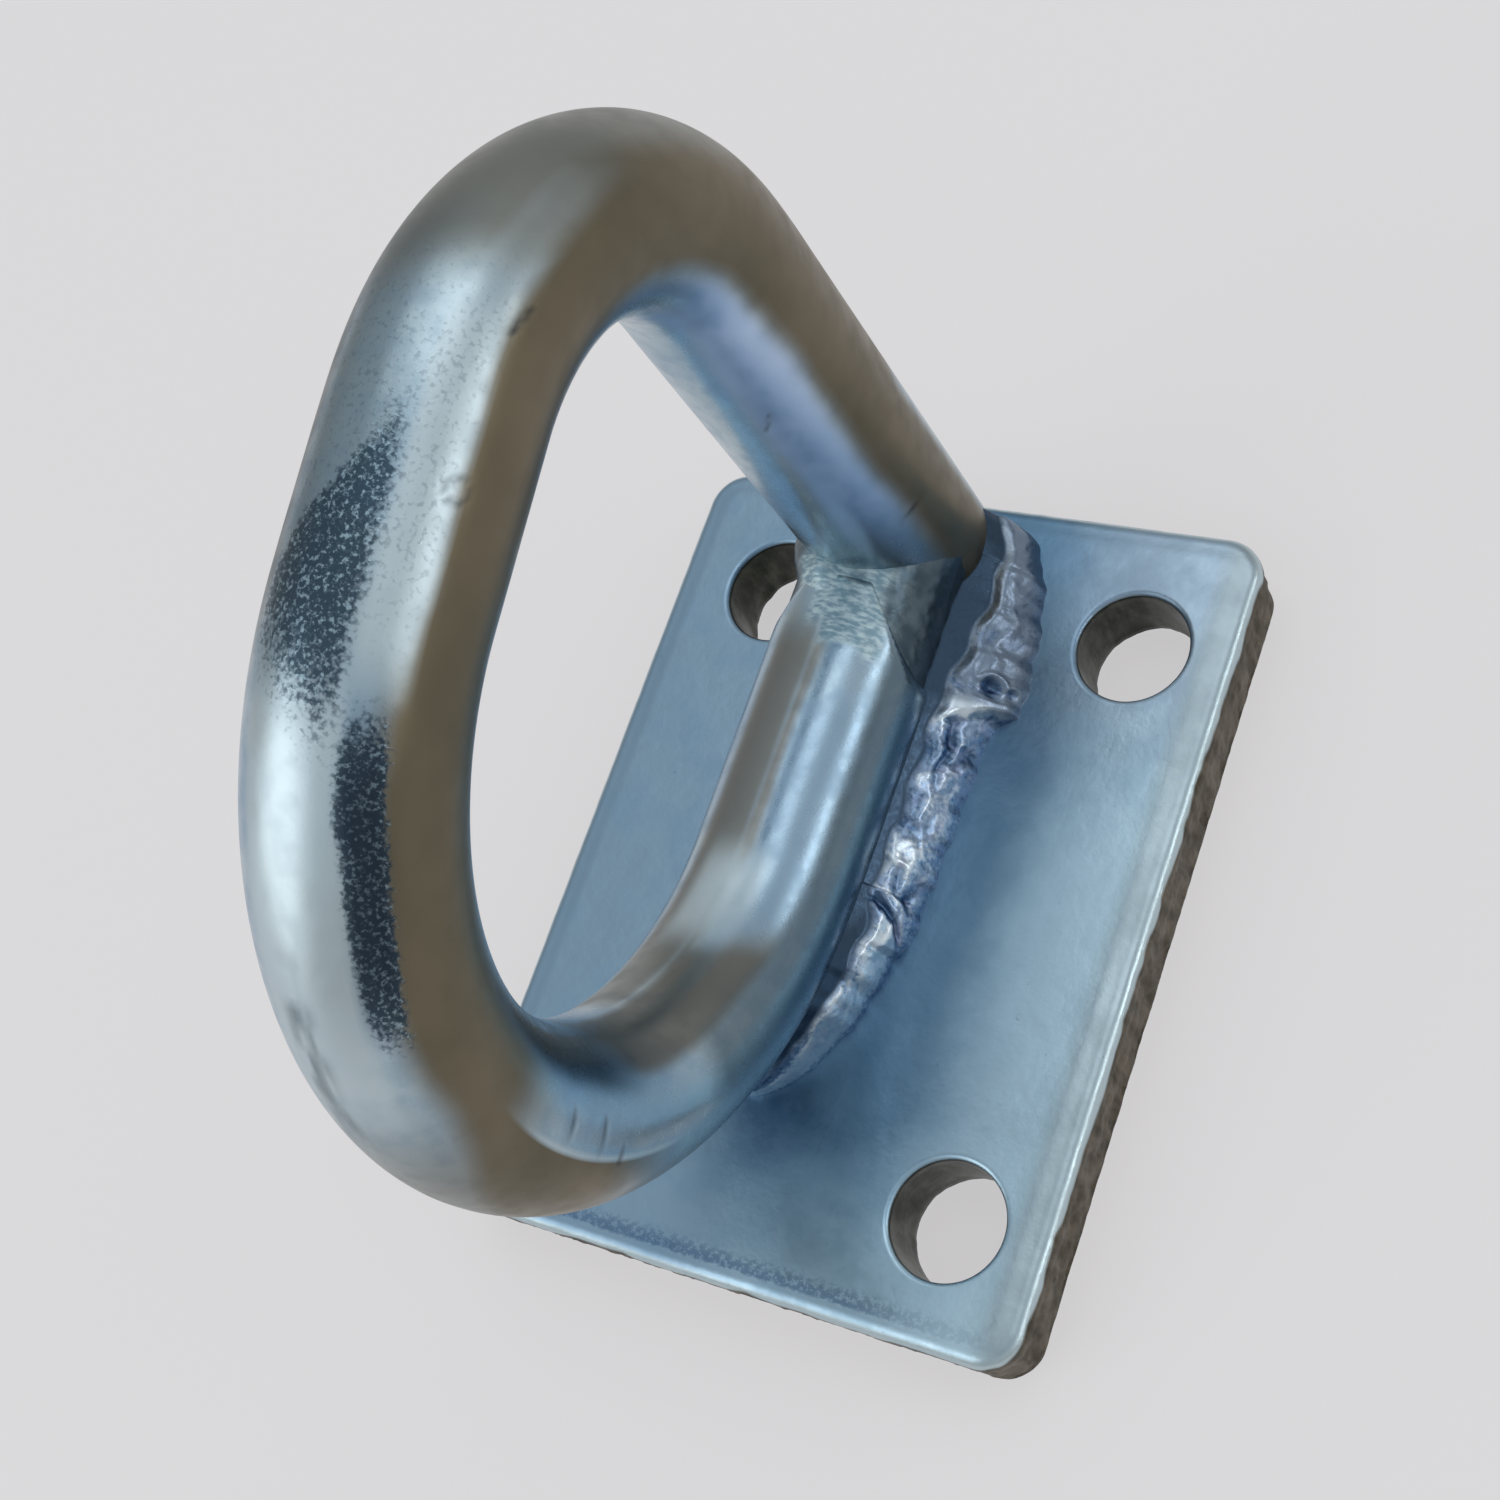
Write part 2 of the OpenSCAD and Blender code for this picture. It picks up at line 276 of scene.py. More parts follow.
# %% Shares of the marks
def patched(layer, s, a):
    """The strongest of a layer's patches at each point."""
    return strongest(*(
        strength * band(a, *degrees) * band(s - slant * a, *lengths)
        for strength, degrees, lengths, slant in PATCHES[layer]
    ))


def stroke(s, deg, start, end, width):
    """1 on a line between two places on the bar, fading over its width."""
    across, along = (end[1] - start[1]) * MM_PER_DEG, end[0] - start[0]
    x, y = s - start[0], (deg - start[1]) * MM_PER_DEG
    u = np.clip((x * along + y * across) / (along**2 + across**2), 0, 1)
    return np.exp(-((x - u * along) ** 2 + (y - u * across) ** 2) / width**2)


REFLECTION_END_DEG, REFLECTION_TURN_S = 79.5, 102


def brown_reflection_share(s, deg, a):
    """The painted brown reflection: wide on the flank, and cut off sharply on the underside of the low bend.
    """
    start = -20 + 76 * ease((s - 82) / 32) - 8 * ease((s - 106) / 12) * ease((162 - s) / 26)
    soft = 20 + 1.8 * np.maximum(0, 118 - s)
    flank = ease((a - start) / soft + 0.5) * band(s, 78, 300, 16)
    high_end = ease((120 - a) / 24 + 0.5) * ease((s - REFLECTION_TURN_S) / 12 + 0.5)
    low_end = ease((REFLECTION_END_DEG - deg) / 3 + 0.5) * ease((REFLECTION_TURN_S - s) / 12 + 0.5)
    return strongest(flank * (high_end + low_end), patched("film", s, a))


def speckle_and_shade_share(s, a):
    """Dark speckles of wear, with painted shade over them: a zone on the crown of the front bend, and a
    narrow one below and beside it.
    """
    high = 0.9 * band(a, -40 + 53 * ease((s - 151) / 19), 28, 18) * band(s + 0.10 * a, 147, 171, 12)
    low = band(a, 31 + 0.5 * np.maximum(0, 132 - s), 55, 9) * band(s, 120, 145, 8)
    return strongest(high, low, patched("speckle", s, a))


def rub_and_highlight_share(s, deg, a):
    """Rubbed bright zinc in an oval on top of the flat, and painted highlights: a thin line beside the brown
    reflection, and the patches.
    """
    oval = np.exp(-(((s - 43.5) / 8.5) ** 4) - ((np.abs(deg) - 171) / 15) ** 4)
    line = 0.8 * band(deg, REFLECTION_END_DEG, REFLECTION_END_DEG + 3, 1.5) * band(s, 74, 100, 6)
    return strongest(oval, line, patched("pale", s, a))


def bar_marks(s, deg):
    """All marks and painted light and shade by name, for places s along the bar and deg round it."""
    a = deg + 3 * lattice_noise(s / 11, deg / 40, 0, 71) + lattice_noise(s / 2.5, deg / 14, 0, 72)
    # Soft dark streaks of painted shade on the front bend
    shade_streaks = 0.6 * ease(0.4 + 0.9 * lattice_noise(s / 2.4, deg / 6, 0, 91))
    shade_streaks = shade_streaks * band(a, -16, 3, 10) * band(s, 108, 130, 10)
    far = np.hypot(s - DIMPLE_S, (deg - DIMPLE_DEG) * MM_PER_DEG)
    mark = SCRATCH_STRENGTH * sum(stroke(s, deg, *line) for line in SCRATCHES)
    mark = mark + 0.8 * band(a, 34, 53, 9) * band(s, 123, 144, 10) + 0.45 * ridge(far, DIMPLE_R, 0.25)
    ground_end = 9.0 + 1.3 * lattice_noise(0, deg / 9, 0, 81)
    ground = band(s, -1, ground_end, 1.2) * band(a, 136, 184, 8)
    return {
        "film": brown_reflection_share(s, deg, a),
        "gloom": strongest(shade_streaks, patched("gloom", s, a)),
        "speckle": speckle_and_shade_share(s, a),
        "pale": rub_and_highlight_share(s, deg, a),
        "mark": np.clip(mark, 0, 1),
        "ground": strongest(ground, band(s, -1, 6.0, 2) * band(a, -184, -166, 6)),
        "blue": patched("blue", s, a),
    }


# The painted brown reflection at the crest
print("film at the crest:", round(float(brown_reflection_share(200.0, 90.0, 90.0)), 2))

# %% Sweep the bar
ROOT_FACE, BEVEL_LEN = 8.0, 8.8
BAR_COUNT = 112
FLAT_OUTSIDE, FLAT_INSIDE = 0.28, 0.05
MARK_DEPTH, DIMPLE_DEPTH, GROUND_DEPTH, BAR_WAVE = 0.10, 0.12, 0.10, 0.03
# The skin is kept a hair under the CAD's surface, so that its noise never rises over it
UNDER_CAD = 0.02


def bar_mesh():
    s, q, n, bent = bar_line
    turn = np.linspace(0, 2 * math.pi, BAR_COUNT, endpoint=False)
    deg = (np.degrees(turn) + 180) % 360 - 180
    out, side = np.cos(turn), np.sin(turn)
    s, bent = s[:, None], bent[:, None]
    marks = bar_marks(s, deg[None])
    r = BAR_R - UNDER_CAD - MARK_DEPTH * marks["mark"]
    r -= DIMPLE_DEPTH * ridge(s, DIMPLE_S, 1.0) * ridge(deg, DIMPLE_DEG, 6)
    r -= marks["ground"] * (GROUND_DEPTH + 0.06 * rough(s * 1.6, deg / 14, 0, 83, 2))
    # A bend flattens the bar, on its outside more than on its inside
    r -= FLAT_OUTSIDE * bent * np.clip(out, 0, 1) ** 2
    r -= FLAT_INSIDE * bent * np.clip(-out, 0, 1) ** 2
    wave = lattice_noise(s / 14, turn * 2 / math.pi, 0, 5)
    r += BAR_WAVE * wave * (1 - bent * 0.5) - UNDER_CAD
    bevel = np.minimum(BAR_R, ROOT_FACE / 2 + s * (BAR_R - ROOT_FACE / 2) / BEVEL_LEN)
    x = RING_X + np.clip(r * side, -bevel, bevel)
    y = q[:, :1] + r * out * n[:, :1]
    z = q[:, 1:] + r * out * n[:, 1:]
    verts = np.stack([x, y, z], 2).reshape(-1, 3)
    obj = piece("bent_bar", verts, tube_faces(len(s), BAR_COUNT), "ring_bar")
    for name, share in marks.items():
        paint(obj, name, share)
    return obj


bar = bar_mesh()

# %% [markdown]
# ## The sheared plate
# The real plate is cut from 10 mm stock in a shear. The blade rolls the front edge over, leaves a smooth
# band below it and tears the rest, so the side is rough. The bolt holes are punched, and rolled in at the
# front rim. A bevelled box would give even edges. Here rows of points go round the outline from the back
# face to the front, and only the rows in the torn part are roughened.

# %% Outline of the plate
CORNER_R = 5.0
OUTLINE_STEP = 0.36
CORNER_STEPS = 24


def rounded_rectangle(low, high, radius, step):
    """Points round a rounded rectangle, counter-clockwise, and the outward direction at each."""
    w, h = high[0] - low[0] - 2 * radius, high[1] - low[1] - 2 * radius
    corners = (
        (high[0] - radius, low[1] + radius, -90, h), (high[0] - radius, high[1] - radius, 0, w),
        (low[0] + radius, high[1] - radius, 90, h), (low[0] + radius, low[1] + radius, 180, w),
    )
    points, outs = [], []
    for cx, cy, start, side in corners:
        for a in np.linspace(0, 1, CORNER_STEPS, endpoint=False):
            t = math.radians(start + 90 * a)
            points.append((cx + radius * math.cos(t), cy + radius * math.sin(t)))
            outs.append((math.cos(t), math.sin(t)))
        t = math.radians(start + 90)
        out_x, out_y = math.cos(t), math.sin(t)
        for d in np.linspace(0, side, int(side / step), endpoint=False):
            points.append((cx + radius * out_x - out_y * d, cy + radius * out_y + out_x * d))
            outs.append((out_x, out_y))
    return np.array(points), np.array(outs)


rim, rim_out = rounded_rectangle(plate_low, plate_high, CORNER_R, OUTLINE_STEP)
print("outline of", len(rim), "points")

# %% The plate's side, from the back face to the front
# How far the side's rows reach over the faces, and how deep the torn part is
EDGE_INSET = 3.8
TEAR = 0.42
# The rolled edge: its reach inwards and down, and how far it sinks under the face
ROLL_IN, ROLL_DOWN = 1.5, 1.4
DISH = 0.14
# Height at which the smooth sheared band starts over the torn part
TORN_TOP = 9.0


def edge_profile():
    """For each row: its depth inside the outline, its height, and how far it is torn inwards."""
    rows = [(EDGE_INSET, 0.0, 0.0), (1.3, 0.0, 0.0), (0.75, 0.0, 0.0), (0.5, 0.22, 0.1)]
    for z in np.linspace(0.6, 6.0, 13):
        rows.append((0.45 * (1 - z / 6.5), z, TEAR))
    for z in np.linspace(6.4, 8.3, 5):
        rows.append((0.0, z, TEAR * (1 - ease((z - 6.2) / 1.6)) + 0.04))
    for a in np.linspace(0, math.pi / 2, 9):
        rows.append((ROLL_IN * (1 - math.cos(a)), PLATE_T - DISH - ROLL_DOWN * (1 - math.sin(a)), 0.06))
    for depth in (1.8, 2.2, 2.6, 3.0, 3.4):
        rows.append((depth, PLATE_T - DISH * (1 - ease((depth - ROLL_IN) / 1.9)), 0.0))
    return rows + [(EDGE_INSET - 0.2, PLATE_T, 0.0), (EDGE_INSET, PLATE_T, 0.0)]


def edge_rows():
    """The side's rows of points, and the share of torn steel at each point."""
    inner = np.clip(rim, plate_low[:2] + CORNER_R, plate_high[:2] - CORNER_R)
    inner = inner + (rim - inner) * (CORNER_R - EDGE_INSET) / CORNER_R
    rows, torn = [], []
    for depth, z, tear in edge_profile():
        base = rim + (inner - rim) * (depth / EDGE_INSET)
        x, y = base[:, 0], base[:, 1]
        bite = 0.5 + 0.5 * rough(x * 0.55, y * 0.55, z * 0.35, 11, 4)
        bite += 0.25 * np.clip(rough(x * 1.9, y * 1.9, z * 0.7, 31, 2), -1, 1)
        moved = base - rim_out * np.clip(bite, 0, 2)[:, None] * tear
        rows.append(np.column_stack([moved, np.full(len(rim), z)]))
        wander = z - 0.5 * rough(x * 0.3, y * 0.3, 0, 17, 2)
        torn.append(ease((TORN_TOP - wander) / 0.5) * (z > 0.1))
    return rows, torn


print("side of", len(edge_profile()), "rows")

# %% A punched hole
# Holes of 13.5 mm for 12 mm bolts, 48 mm apart across the plate and 70 mm along it
HOLE_R = 6.75
HOLE_X, HOLE_Y = 24.0, 35.0
HOLE_ROLL = 0.7
FRONT_LAND, BACK_LAND = HOLE_R + HOLE_ROLL + 0.35, HOLE_R + 0.8
HOLE_POINTS = 128
hole_turn = np.linspace(0, 2 * math.pi, HOLE_POINTS, endpoint=False)


def hole_rows(hx, hy):
    """Rows of points from the front face, over the rolled rim and down the wall, and which are bare wall."""
    profile = [(FRONT_LAND, PLATE_T, 0), (HOLE_R + HOLE_ROLL + 0.15, PLATE_T, 0)]
    for k, a in enumerate(np.linspace(0, math.pi / 2, 7)):
        z = PLATE_T - HOLE_ROLL * (1 - math.cos(a))
        profile.append((HOLE_R + HOLE_ROLL * (1 - math.sin(a)), z, k > 4))
    for z in np.linspace(PLATE_T - HOLE_ROLL - 0.5, 0.3, 12):
        tear = 1 + rough(np.cos(hole_turn) * 5 + hx, np.sin(hole_turn) * 5, z * 0.5, 61, 3)
        profile.append((HOLE_R + (0.05 + 0.10 * ease((5 - z) / 4) * tear), z, 1))
    profile += [(HOLE_R + 0.45, 0.0, 0), (BACK_LAND, 0.0, 0)]
    rows = [
        np.column_stack([
            hx + radius * np.cos(hole_turn), hy + radius * np.sin(hole_turn), np.full(HOLE_POINTS, z),
        ])
        for radius, z, bare in profile
    ]
    return rows, np.repeat([float(bare) for radius, z, bare in profile], HOLE_POINTS)


print("hole of", len(hole_rows(0, 0)[0]), "rows")


# %% A flat face with holes in it
def flat_face(verts, loops, land):
    """Triangles between the plate's rim and the rims of its holes, all turned counter-clockwise."""
    used = [i for loop in loops for i in loop]
    local = {v: k for k, v in enumerate(used)}
    flat = [Vector(verts[i][:2]) for i in used]
    edges = [(local[a], local[b]) for loop in loops for a, b in zip(loop, loop[1:] + loop[:1])]
    _, _, tris, orig, _, _ = geometry.delaunay_2d_cdt(flat, edges, [], 0, 1e-9)
    # A triangle inside a hole has its middle nearer to the hole's centre than the flats of the hole's rim
    gap = land * math.cos(math.pi / HOLE_POINTS)
    faces = []
    for tri in tris:
        ids = [used[orig[k][0]] for k in tri]
        mid = np.mean([verts[i] for i in ids], 0)
        if math.hypot(abs(mid[0]) - HOLE_X, abs(mid[1]) - HOLE_Y) < gap:
            continue
        a, b, c = (verts[i] for i in ids)
        if (b[0] - a[0]) * (c[1] - a[1]) - (b[1] - a[1]) * (c[0] - a[0]) < 0:
            ids.reverse()
        faces.append(ids)
    return faces


print("a hole's gap in the front face:", round(FRONT_LAND * math.cos(math.pi / HOLE_POINTS), 3), "mm")


# %% Put the plate together
def plate_mesh():
    rows, torn = edge_rows()
    count = len(rim)
    verts = np.concatenate(rows)
    torn = np.concatenate(torn)
    bare = [np.zeros(len(verts))]
    faces = ring_faces(len(rows), count)
    front_loops = [list(range(len(verts) - count, len(verts)))]
    back_loops = [list(range(count))]
    for hx in (-HOLE_X, HOLE_X):
        for hy in (-HOLE_Y, HOLE_Y):
            start = len(verts)
            rows, wall = hole_rows(hx, hy)
            verts = np.concatenate([verts] + rows)
            bare.append(wall)
            faces += ring_faces(len(rows), HOLE_POINTS, start)
            front_loops.append(list(range(start + HOLE_POINTS - 1, start - 1, -1)))
            back_loops.append(list(range(len(verts) - 1, len(verts) - HOLE_POINTS - 1, -1)))
    faces += flat_face(verts, front_loops, FRONT_LAND)
    faces += [face[::-1] for face in flat_face(verts, back_loops, BACK_LAND)]
    obj = piece("sheared_plate", verts, faces, "base_plate")
    paint(obj, "torn", np.pad(torn, (0, len(verts) - len(torn))))
    paint(obj, "bore", np.concatenate(bare))
    return obj


plate = plate_mesh()

# %% [markdown]
# ## The fillet welds
# The real bead was laid by hand in three runs that lap: a wide one round the leg, a second that tapers, and
# a third that follows the bar up its bend to a point. A sculpted lump could look like it, but would not meet
# the bar and the plate. So the bead is built from stations, and a station is named by its distance d from
# the leg's axis. At each one the bead has a toe on the plate, at t = 0, and meets the bar higher up, at
# t = 1.

# %% Outline of a fillet bead
# The first run is a pad beside the leg: where it ends, and how far it reaches past the leg's axis
PAD_LEN, PAD_OVER_LEG = 17.0, 6.0
# Height at which the bead meets the bar, and how much higher its hidden edge goes on inside the bar
FILLET_RISE, INNER_RISE = 7.4, 1.08
# Where the third run laps over the second, and its reach and height at the tip
LAP = FLAT_LEN + 5.5
TIP_LEG, TIP_RISE = 3.4, 3.2
# Radius round a bolt hole that stays clear
CLEAR_R = HOLE_R + HOLE_ROLL + 0.4


def past_bend(d):
    """How far a station is past the start of the bar's bend."""
    return np.maximum(0, d - FLAT_LEN)


def tip_taper(d, bead):
    """1 along the flat, and round as an ellipse to nearly 0 at the tip."""
    return np.sqrt(np.maximum(0.0004, 1 - (past_bend(d) / bead["past"]) ** 2))


def toe_x(d, bead):
    """Reach of the bead from the ring's plane, on the plate."""
    pad = bead["pad"] * np.sqrt(np.maximum(0, 1 - ((PAD_LEN - d) / (PAD_LEN + PAD_OVER_LEG + 1)) ** 2))
    run = bead["run"] + (TIP_LEG + 0.9 - bead["run"]) * np.clip((d - PAD_LEN) / (LAP - PAD_LEN), 0, 1)
    reach = np.where(d < PAD_LEN, pad, bead["pad"] + (run - bead["pad"]) * ease((d - PAD_LEN) / 2.6))
    reach = reach + (TIP_LEG - reach) * ease((d - LAP) / 1.2)
    reach = reach - 0.8 * ease((d - LAP - 6) / 12)
    # The hand that led the torch wandered a little
    wander = 0.10 * np.sin(np.radians(131 * d + bead["seed"]))
    wander = wander + 0.2 * np.sin(np.radians(57 * d + 2 * bead["seed"]))
    # Beside the bolt holes the bead keeps clear of a nut
    limit = bead["hole"] - CLEAR_R + (LEG_Y - d - HOLE_Y) ** 2 / (2 * CLEAR_R)
    return np.minimum(BAR_R + reach + wander, np.maximum(BAR_R + 0.5, limit)) * tip_taper(d, bead)


def flank_x(d):
    """Reach of the bar's flank from the ring's plane, at the height where the bead meets it."""
    behind_leg = np.sqrt(np.maximum(0, BAR_R**2 - np.minimum(d, 0) ** 2))
    return np.where(d < 0, behind_leg, math.sqrt(BAR_R**2 - (BAR_R - FILLET_RISE) ** 2))


def meet_height(d, bead):
    """Height over the plate at which the bead meets the bar, which climbs with the bend."""
    lift = BAR_R + FRONT_R - np.sqrt(FRONT_R**2 - past_bend(d) ** 2)
    under = lift - np.sqrt(BAR_R**2 - np.minimum(flank_x(d), toe_x(d, bead) - 1.5) ** 2)
    full = FILLET_RISE + 1.5
    low = full + (TIP_RISE - full) * ease((past_bend(d) / bead["past"] - 0.7) / 0.3)
    return np.where(past_bend(d) == 0, FILLET_RISE, np.minimum(np.maximum(FILLET_RISE, under + 0.6), low))


def meet_x(d, bead):
    """Reach of the line where the bead meets the bar, from the ring's plane."""
    flank = flank_x(d) - 0.8
    return np.where(past_bend(d) == 0, flank, np.minimum(flank, toe_x(d, bead) * 0.72))


RIGHT_BEAD = {
    "pad": 8.3, "run": 5.6, "hole": HOLE_X - RING_X, "past": 26.0, "seed": 20,
    "pits": ((15.3, 0.38, 0.9, 0.8), (15.1, 0.14, 0.5, 0.5)),
}
LEFT_BEAD = {"pad": 5.0, "run": 5.0, "hole": HOLE_X + RING_X, "past": 21.0, "seed": 75, "pits": ()}
print("right toe at d = 0, 20, 60:", np.round(toe_x(np.array([0, 20, 60]), RIGHT_BEAD), 1))


# %% Surface of a fillet bead
def lap_line(t):
    """Where the third run's round head lies over the second run, whose nose reaches on along the plate."""
    return LAP - 4.0 + 4.2 * ((0.72 - t) / 0.62) ** 2


def third_run(d, t):
    return ease((d - lap_line(t)) / 0.9)


def frozen_metal(d, t, bead, on_pad):
    """Ripples from each drop of metal, folds along the bead, and lumps, in mm."""
    seed, third = bead["seed"], third_run(d, t)
    swirl = rough(d * 0.20, t * 1.4, 0, seed + 30, 2)
    lean = d + 2.4 * (2 * t - 1) ** 2 + 2.2 * swirl
    ripples = 0.03 * np.cos(2 * math.pi * lean / 1.3) + 0.05 * np.cos(2 * math.pi * lean / 2.9 + 1)
    folds = 0.30 - 0.70 * np.abs(rough(d * 0.30 + t * 2.0 + swirl, t * 4.2 + 0.5 * swirl, 0, seed + 3, 2))
    lumps = 0.26 * rough(d * 0.32, t * 1.7, 3, seed + 9, 2)
    fine = 0.05 * rough(d * 1.5, t * 9, 5, seed + 12, 2)
    return (ripples + lumps) * (1 - 0.4 * third) + folds * (1 - 0.5 * on_pad - 0.65 * third) + fine


def bead_relief(d, t, bead):
    """Height of the bead's surface over its plain curve, in mm."""
    third = third_run(d, t)
    pad_end = PAD_LEN - 0.4 + 5.5 * t
    on_pad = 1 - ease((d - pad_end) / 1.4)
    relief = frozen_metal(d, t, bead, on_pad)
    # A groove down the second run, a fork near the tip, and the sharp lap under the third run's head
    groove = ridge(t, 0.50 + 0.05 * np.sin(d), 0.07)
    groove = groove * ease((d - PAD_LEN - 1) / 2) * ease((PAD_LEN + 14 - d) / 4)
    fork = ridge(t, 0.52, 0.12) * ease((d - LAP - 11) / 4)
    undercut = ridge(d, lap_line(t) - 0.25, 0.38) * ease((t - 0.08) / 0.2)
    head = third * (1 - ease((d - lap_line(t) - 4) / 6))
    relief += 0.35 * head - 0.55 * groove - 0.6 * fork - 0.85 * undercut
    relief = 0.62 * relief * (0.35 + 0.65 * ease(t / 0.25))
    # The pad stands over the next run, with a ridge at its end, and gas left pits in it
    relief += 0.35 * on_pad + 0.35 * ridge(d, pad_end - 0.3, 0.8)
    for at, across, width, depth in bead["pits"]:
        far = ((d - at) / width) ** 2 + ((t - across) / (width * 0.1)) ** 2
        lip = 0.45 * ridge(far, 2.6, 1.4) * ease(0.5 - (d - at) / 1.6)
        relief += depth * (lip - np.exp(-far))
    return relief


def smooth_and_shaded_share(d, t):
    """1 where the weld has run out thin and smooth on the bar's flank, over the lumpy part, which the finish
    darkens as painted shade.
    """
    start = 0.56 + 0.16 * ease((d - 2) / 16) - 0.14 * ease((d - LAP + 6) / 6) + 0.03 * np.sin(d * 0.9)
    return ease((t - start) / 0.14 + 0.3) * (1 - ease((d - LAP - 15) / 5))


print("bottom of the pit:", round(float(bead_relief(np.array([15.3]), 0.38, RIGHT_BEAD)[0]), 2), "mm")

# %% Mesh of a fillet bead
STATION_STEP = 0.16
bead_t = np.concatenate([[-0.17], np.linspace(-0.03, 1.02, 46), [INNER_RISE]])


def bead_body(d, t, bead, relief, wet):
    """Points x, y, z of the bead's skin, from the ring's plane, the leg's axis and the plate's face."""
    toe, rise = toe_x(d, bead), meet_height(d, bead)
    run_in = toe - meet_x(d, bead)
    chord = np.hypot(run_in, rise)
    full = np.minimum(1, np.minimum(chord / FILLET_RISE, run_in / 4.5))
    crown = np.where((t > 0) & (t < 1), np.sin(math.pi * np.clip(t, 0, 1)), 0)
    swell = (0.9 + relief * (1 - 0.85 * wet) - 0.55 * wet) * crown**0.8 * full
    x = toe - run_in * t + swell * rise / chord
    z = rise * t + swell * run_in / chord
    return np.stack([x, -d, z], 2)


def bead_mesh(name, node, side, bead):
    stations = np.arange(-PAD_OVER_LEG, FLAT_LEN + bead["past"] - 0.05, STATION_STEP)
    d, t = np.meshgrid(stations, bead_t, indexing="ij")
    relief, wet = bead_relief(d, t, bead), smooth_and_shaded_share(d, t)
    # Each row is closed inside the bar, where nobody sees it
    root = (3 - 2.9 * ease((past_bend(stations) - 7) / 8)) * tip_taper(stations, bead)
    low = np.stack([root, -stations, np.full(len(stations), -0.6)], 1)
    top = np.stack([root, -stations, meet_height(stations, bead) * INNER_RISE], 1)
    grid = np.concatenate([low[:, None], bead_body(d, t, bead, relief, wet), top[:, None]], 1)
    grid = grid * (side, 1, 1) + (RING_X, LEG_Y, PLATE_T)
    count = grid.shape[1]
    faces = tube_faces(len(stations), count)
    if side < 0:
        faces = [face[::-1] for face in faces]
    obj = piece(name, grid.reshape(-1, 3), faces, node)
    # A painted highlight down the middle of the third run; the height picks the colour, painted highlight on
    # ridges and painted shade in folds
    rope_highlight = 0.6 * np.sin(math.pi * np.clip(t / 0.66, 0, 1)) + 0.35 * ease((d - LAP - 3) / 8) - 0.25
    height = np.clip(0.45 + 1.2 * relief + rope_highlight * third_run(d, t), 0, 1)
    pad = (1 - ease((d - PAD_LEN) / 2)) * (1 - wet)
    for layer, share, inside in (("height", height, 0.5), ("wet", wet, 0.0), ("pad", pad, 0.0)):
        paint(obj, layer, np.pad(share, ((0, 0), (1, 1)), constant_values=inside))
    return obj


bead_right = bead_mesh("rippled_bead_right", "fillet_weld_right", 1, RIGHT_BEAD)
bead_left = bead_mesh("rippled_bead_left", "fillet_weld_left", -1, LEFT_BEAD)

# %% [markdown]
# ## The groove weld
# The bar's end was ground to a bevel, and the groove between it and the leg was filled with weld metal, then
# dressed with a grinder on top. A sphere pushed into the gap would bulge all round. This piece is a saddle of
# rows across the bar: its skin follows the bar's round, sags in the groove and rises a little at the leg.

# %% Weld metal between the bevelled end and the leg
def plug_mesh():
    low = FILLET_RISE * INNER_RISE + PLATE_T - BAR_Z
    widest = math.acos(low / BAR_R)
    y_rows = np.linspace(START_Y - BEVEL_LEN - 1.0, LEG_Y - 1, 90)
    y, a = np.meshgrid(y_rows, np.linspace(-widest, widest, 110), indexing="ij")
    across = np.minimum(BAR_R, BAR_R * np.abs(np.sin(a)))
    to_leg = LEG_Y - np.sqrt(np.maximum(0, BAR_R**2 - across**2)) - y
    near = np.clip(1 - to_leg / 5, 0, 1)
    crown = ease((42 - np.abs(np.degrees(a) + 36)) / 22) * ease(near)
    sag = 0.6 * (1 - 0.6 * near) * (1 - crown)
    grain = 0.10 * rough(y * 0.5, a * 4, 0, 41, 3)
    r = BAR_R - sag + 1.2 * crown + grain - UNDER_CAD
    x = r * np.sin(a)
    skin = np.stack([RING_X + x, y, BAR_Z + np.maximum(low, r * np.cos(a))], 2)
    root = np.stack([np.full(len(y), RING_X), y_rows, np.full(len(y), BAR_Z + low)], 1)
    grid = np.concatenate([root[:, None], skin], 1)
    obj = piece("groove_weld", grid.reshape(-1, 3), tube_faces(*grid.shape[:2]), "butt_weld")
    # The grinder dressed the top, from left of the middle to the bar's end
    left = RING_X + x + 0.5 * lattice_noise(y / 1.2, x / 3, 0, 84)
    ground = ease((1.2 - left) / 2.0) * ease((left + 11.5) / 2.0) * ease((34.5 - y) / 2.0)
    paint(obj, "ground", np.pad(ground, ((0, 0), (1, 0))))
    return obj


plug = plug_mesh()

# %% [markdown]
# ## Camera
# The photograph looks down on the front right of the ring, rolled a little, from a quarter of a metre away.
# The place and the directions were fitted to the rims of the holes and the edges of the plate, because a
# camera aimed by eye would not give the same outline.

# %% Camera
CAMERA_AT = Vector((0.126602, -0.066185, 0.259631))
CAMERA_RIGHT = Vector((0.85624, 0.33133, -0.39632))
CAMERA_BACK = Vector((0.48765, -0.26534, 0.83174))
FOCAL_LENGTH = 58.469


def place_camera():
    data = bpy.data.cameras.new("camera")
    data.sensor_width = 36.0
    data.lens = FOCAL_LENGTH
    data.clip_start, data.clip_end = 0.01, 10
    cam = bpy.data.objects.new("camera", data)
    back = CAMERA_BACK.normalized()
    up = back.cross(CAMERA_RIGHT.normalized()).normalized()
    turn = Matrix((up.cross(back), up, back)).transposed().to_4x4()
    turn.translation = CAMERA_AT
    cam.matrix_world = turn
    bpy.context.scene.collection.objects.link(cam)
    bpy.context.scene.camera = cam


place_camera()
print("camera", round(CAMERA_AT.length * 1000), "mm from the middle of the plate's back")

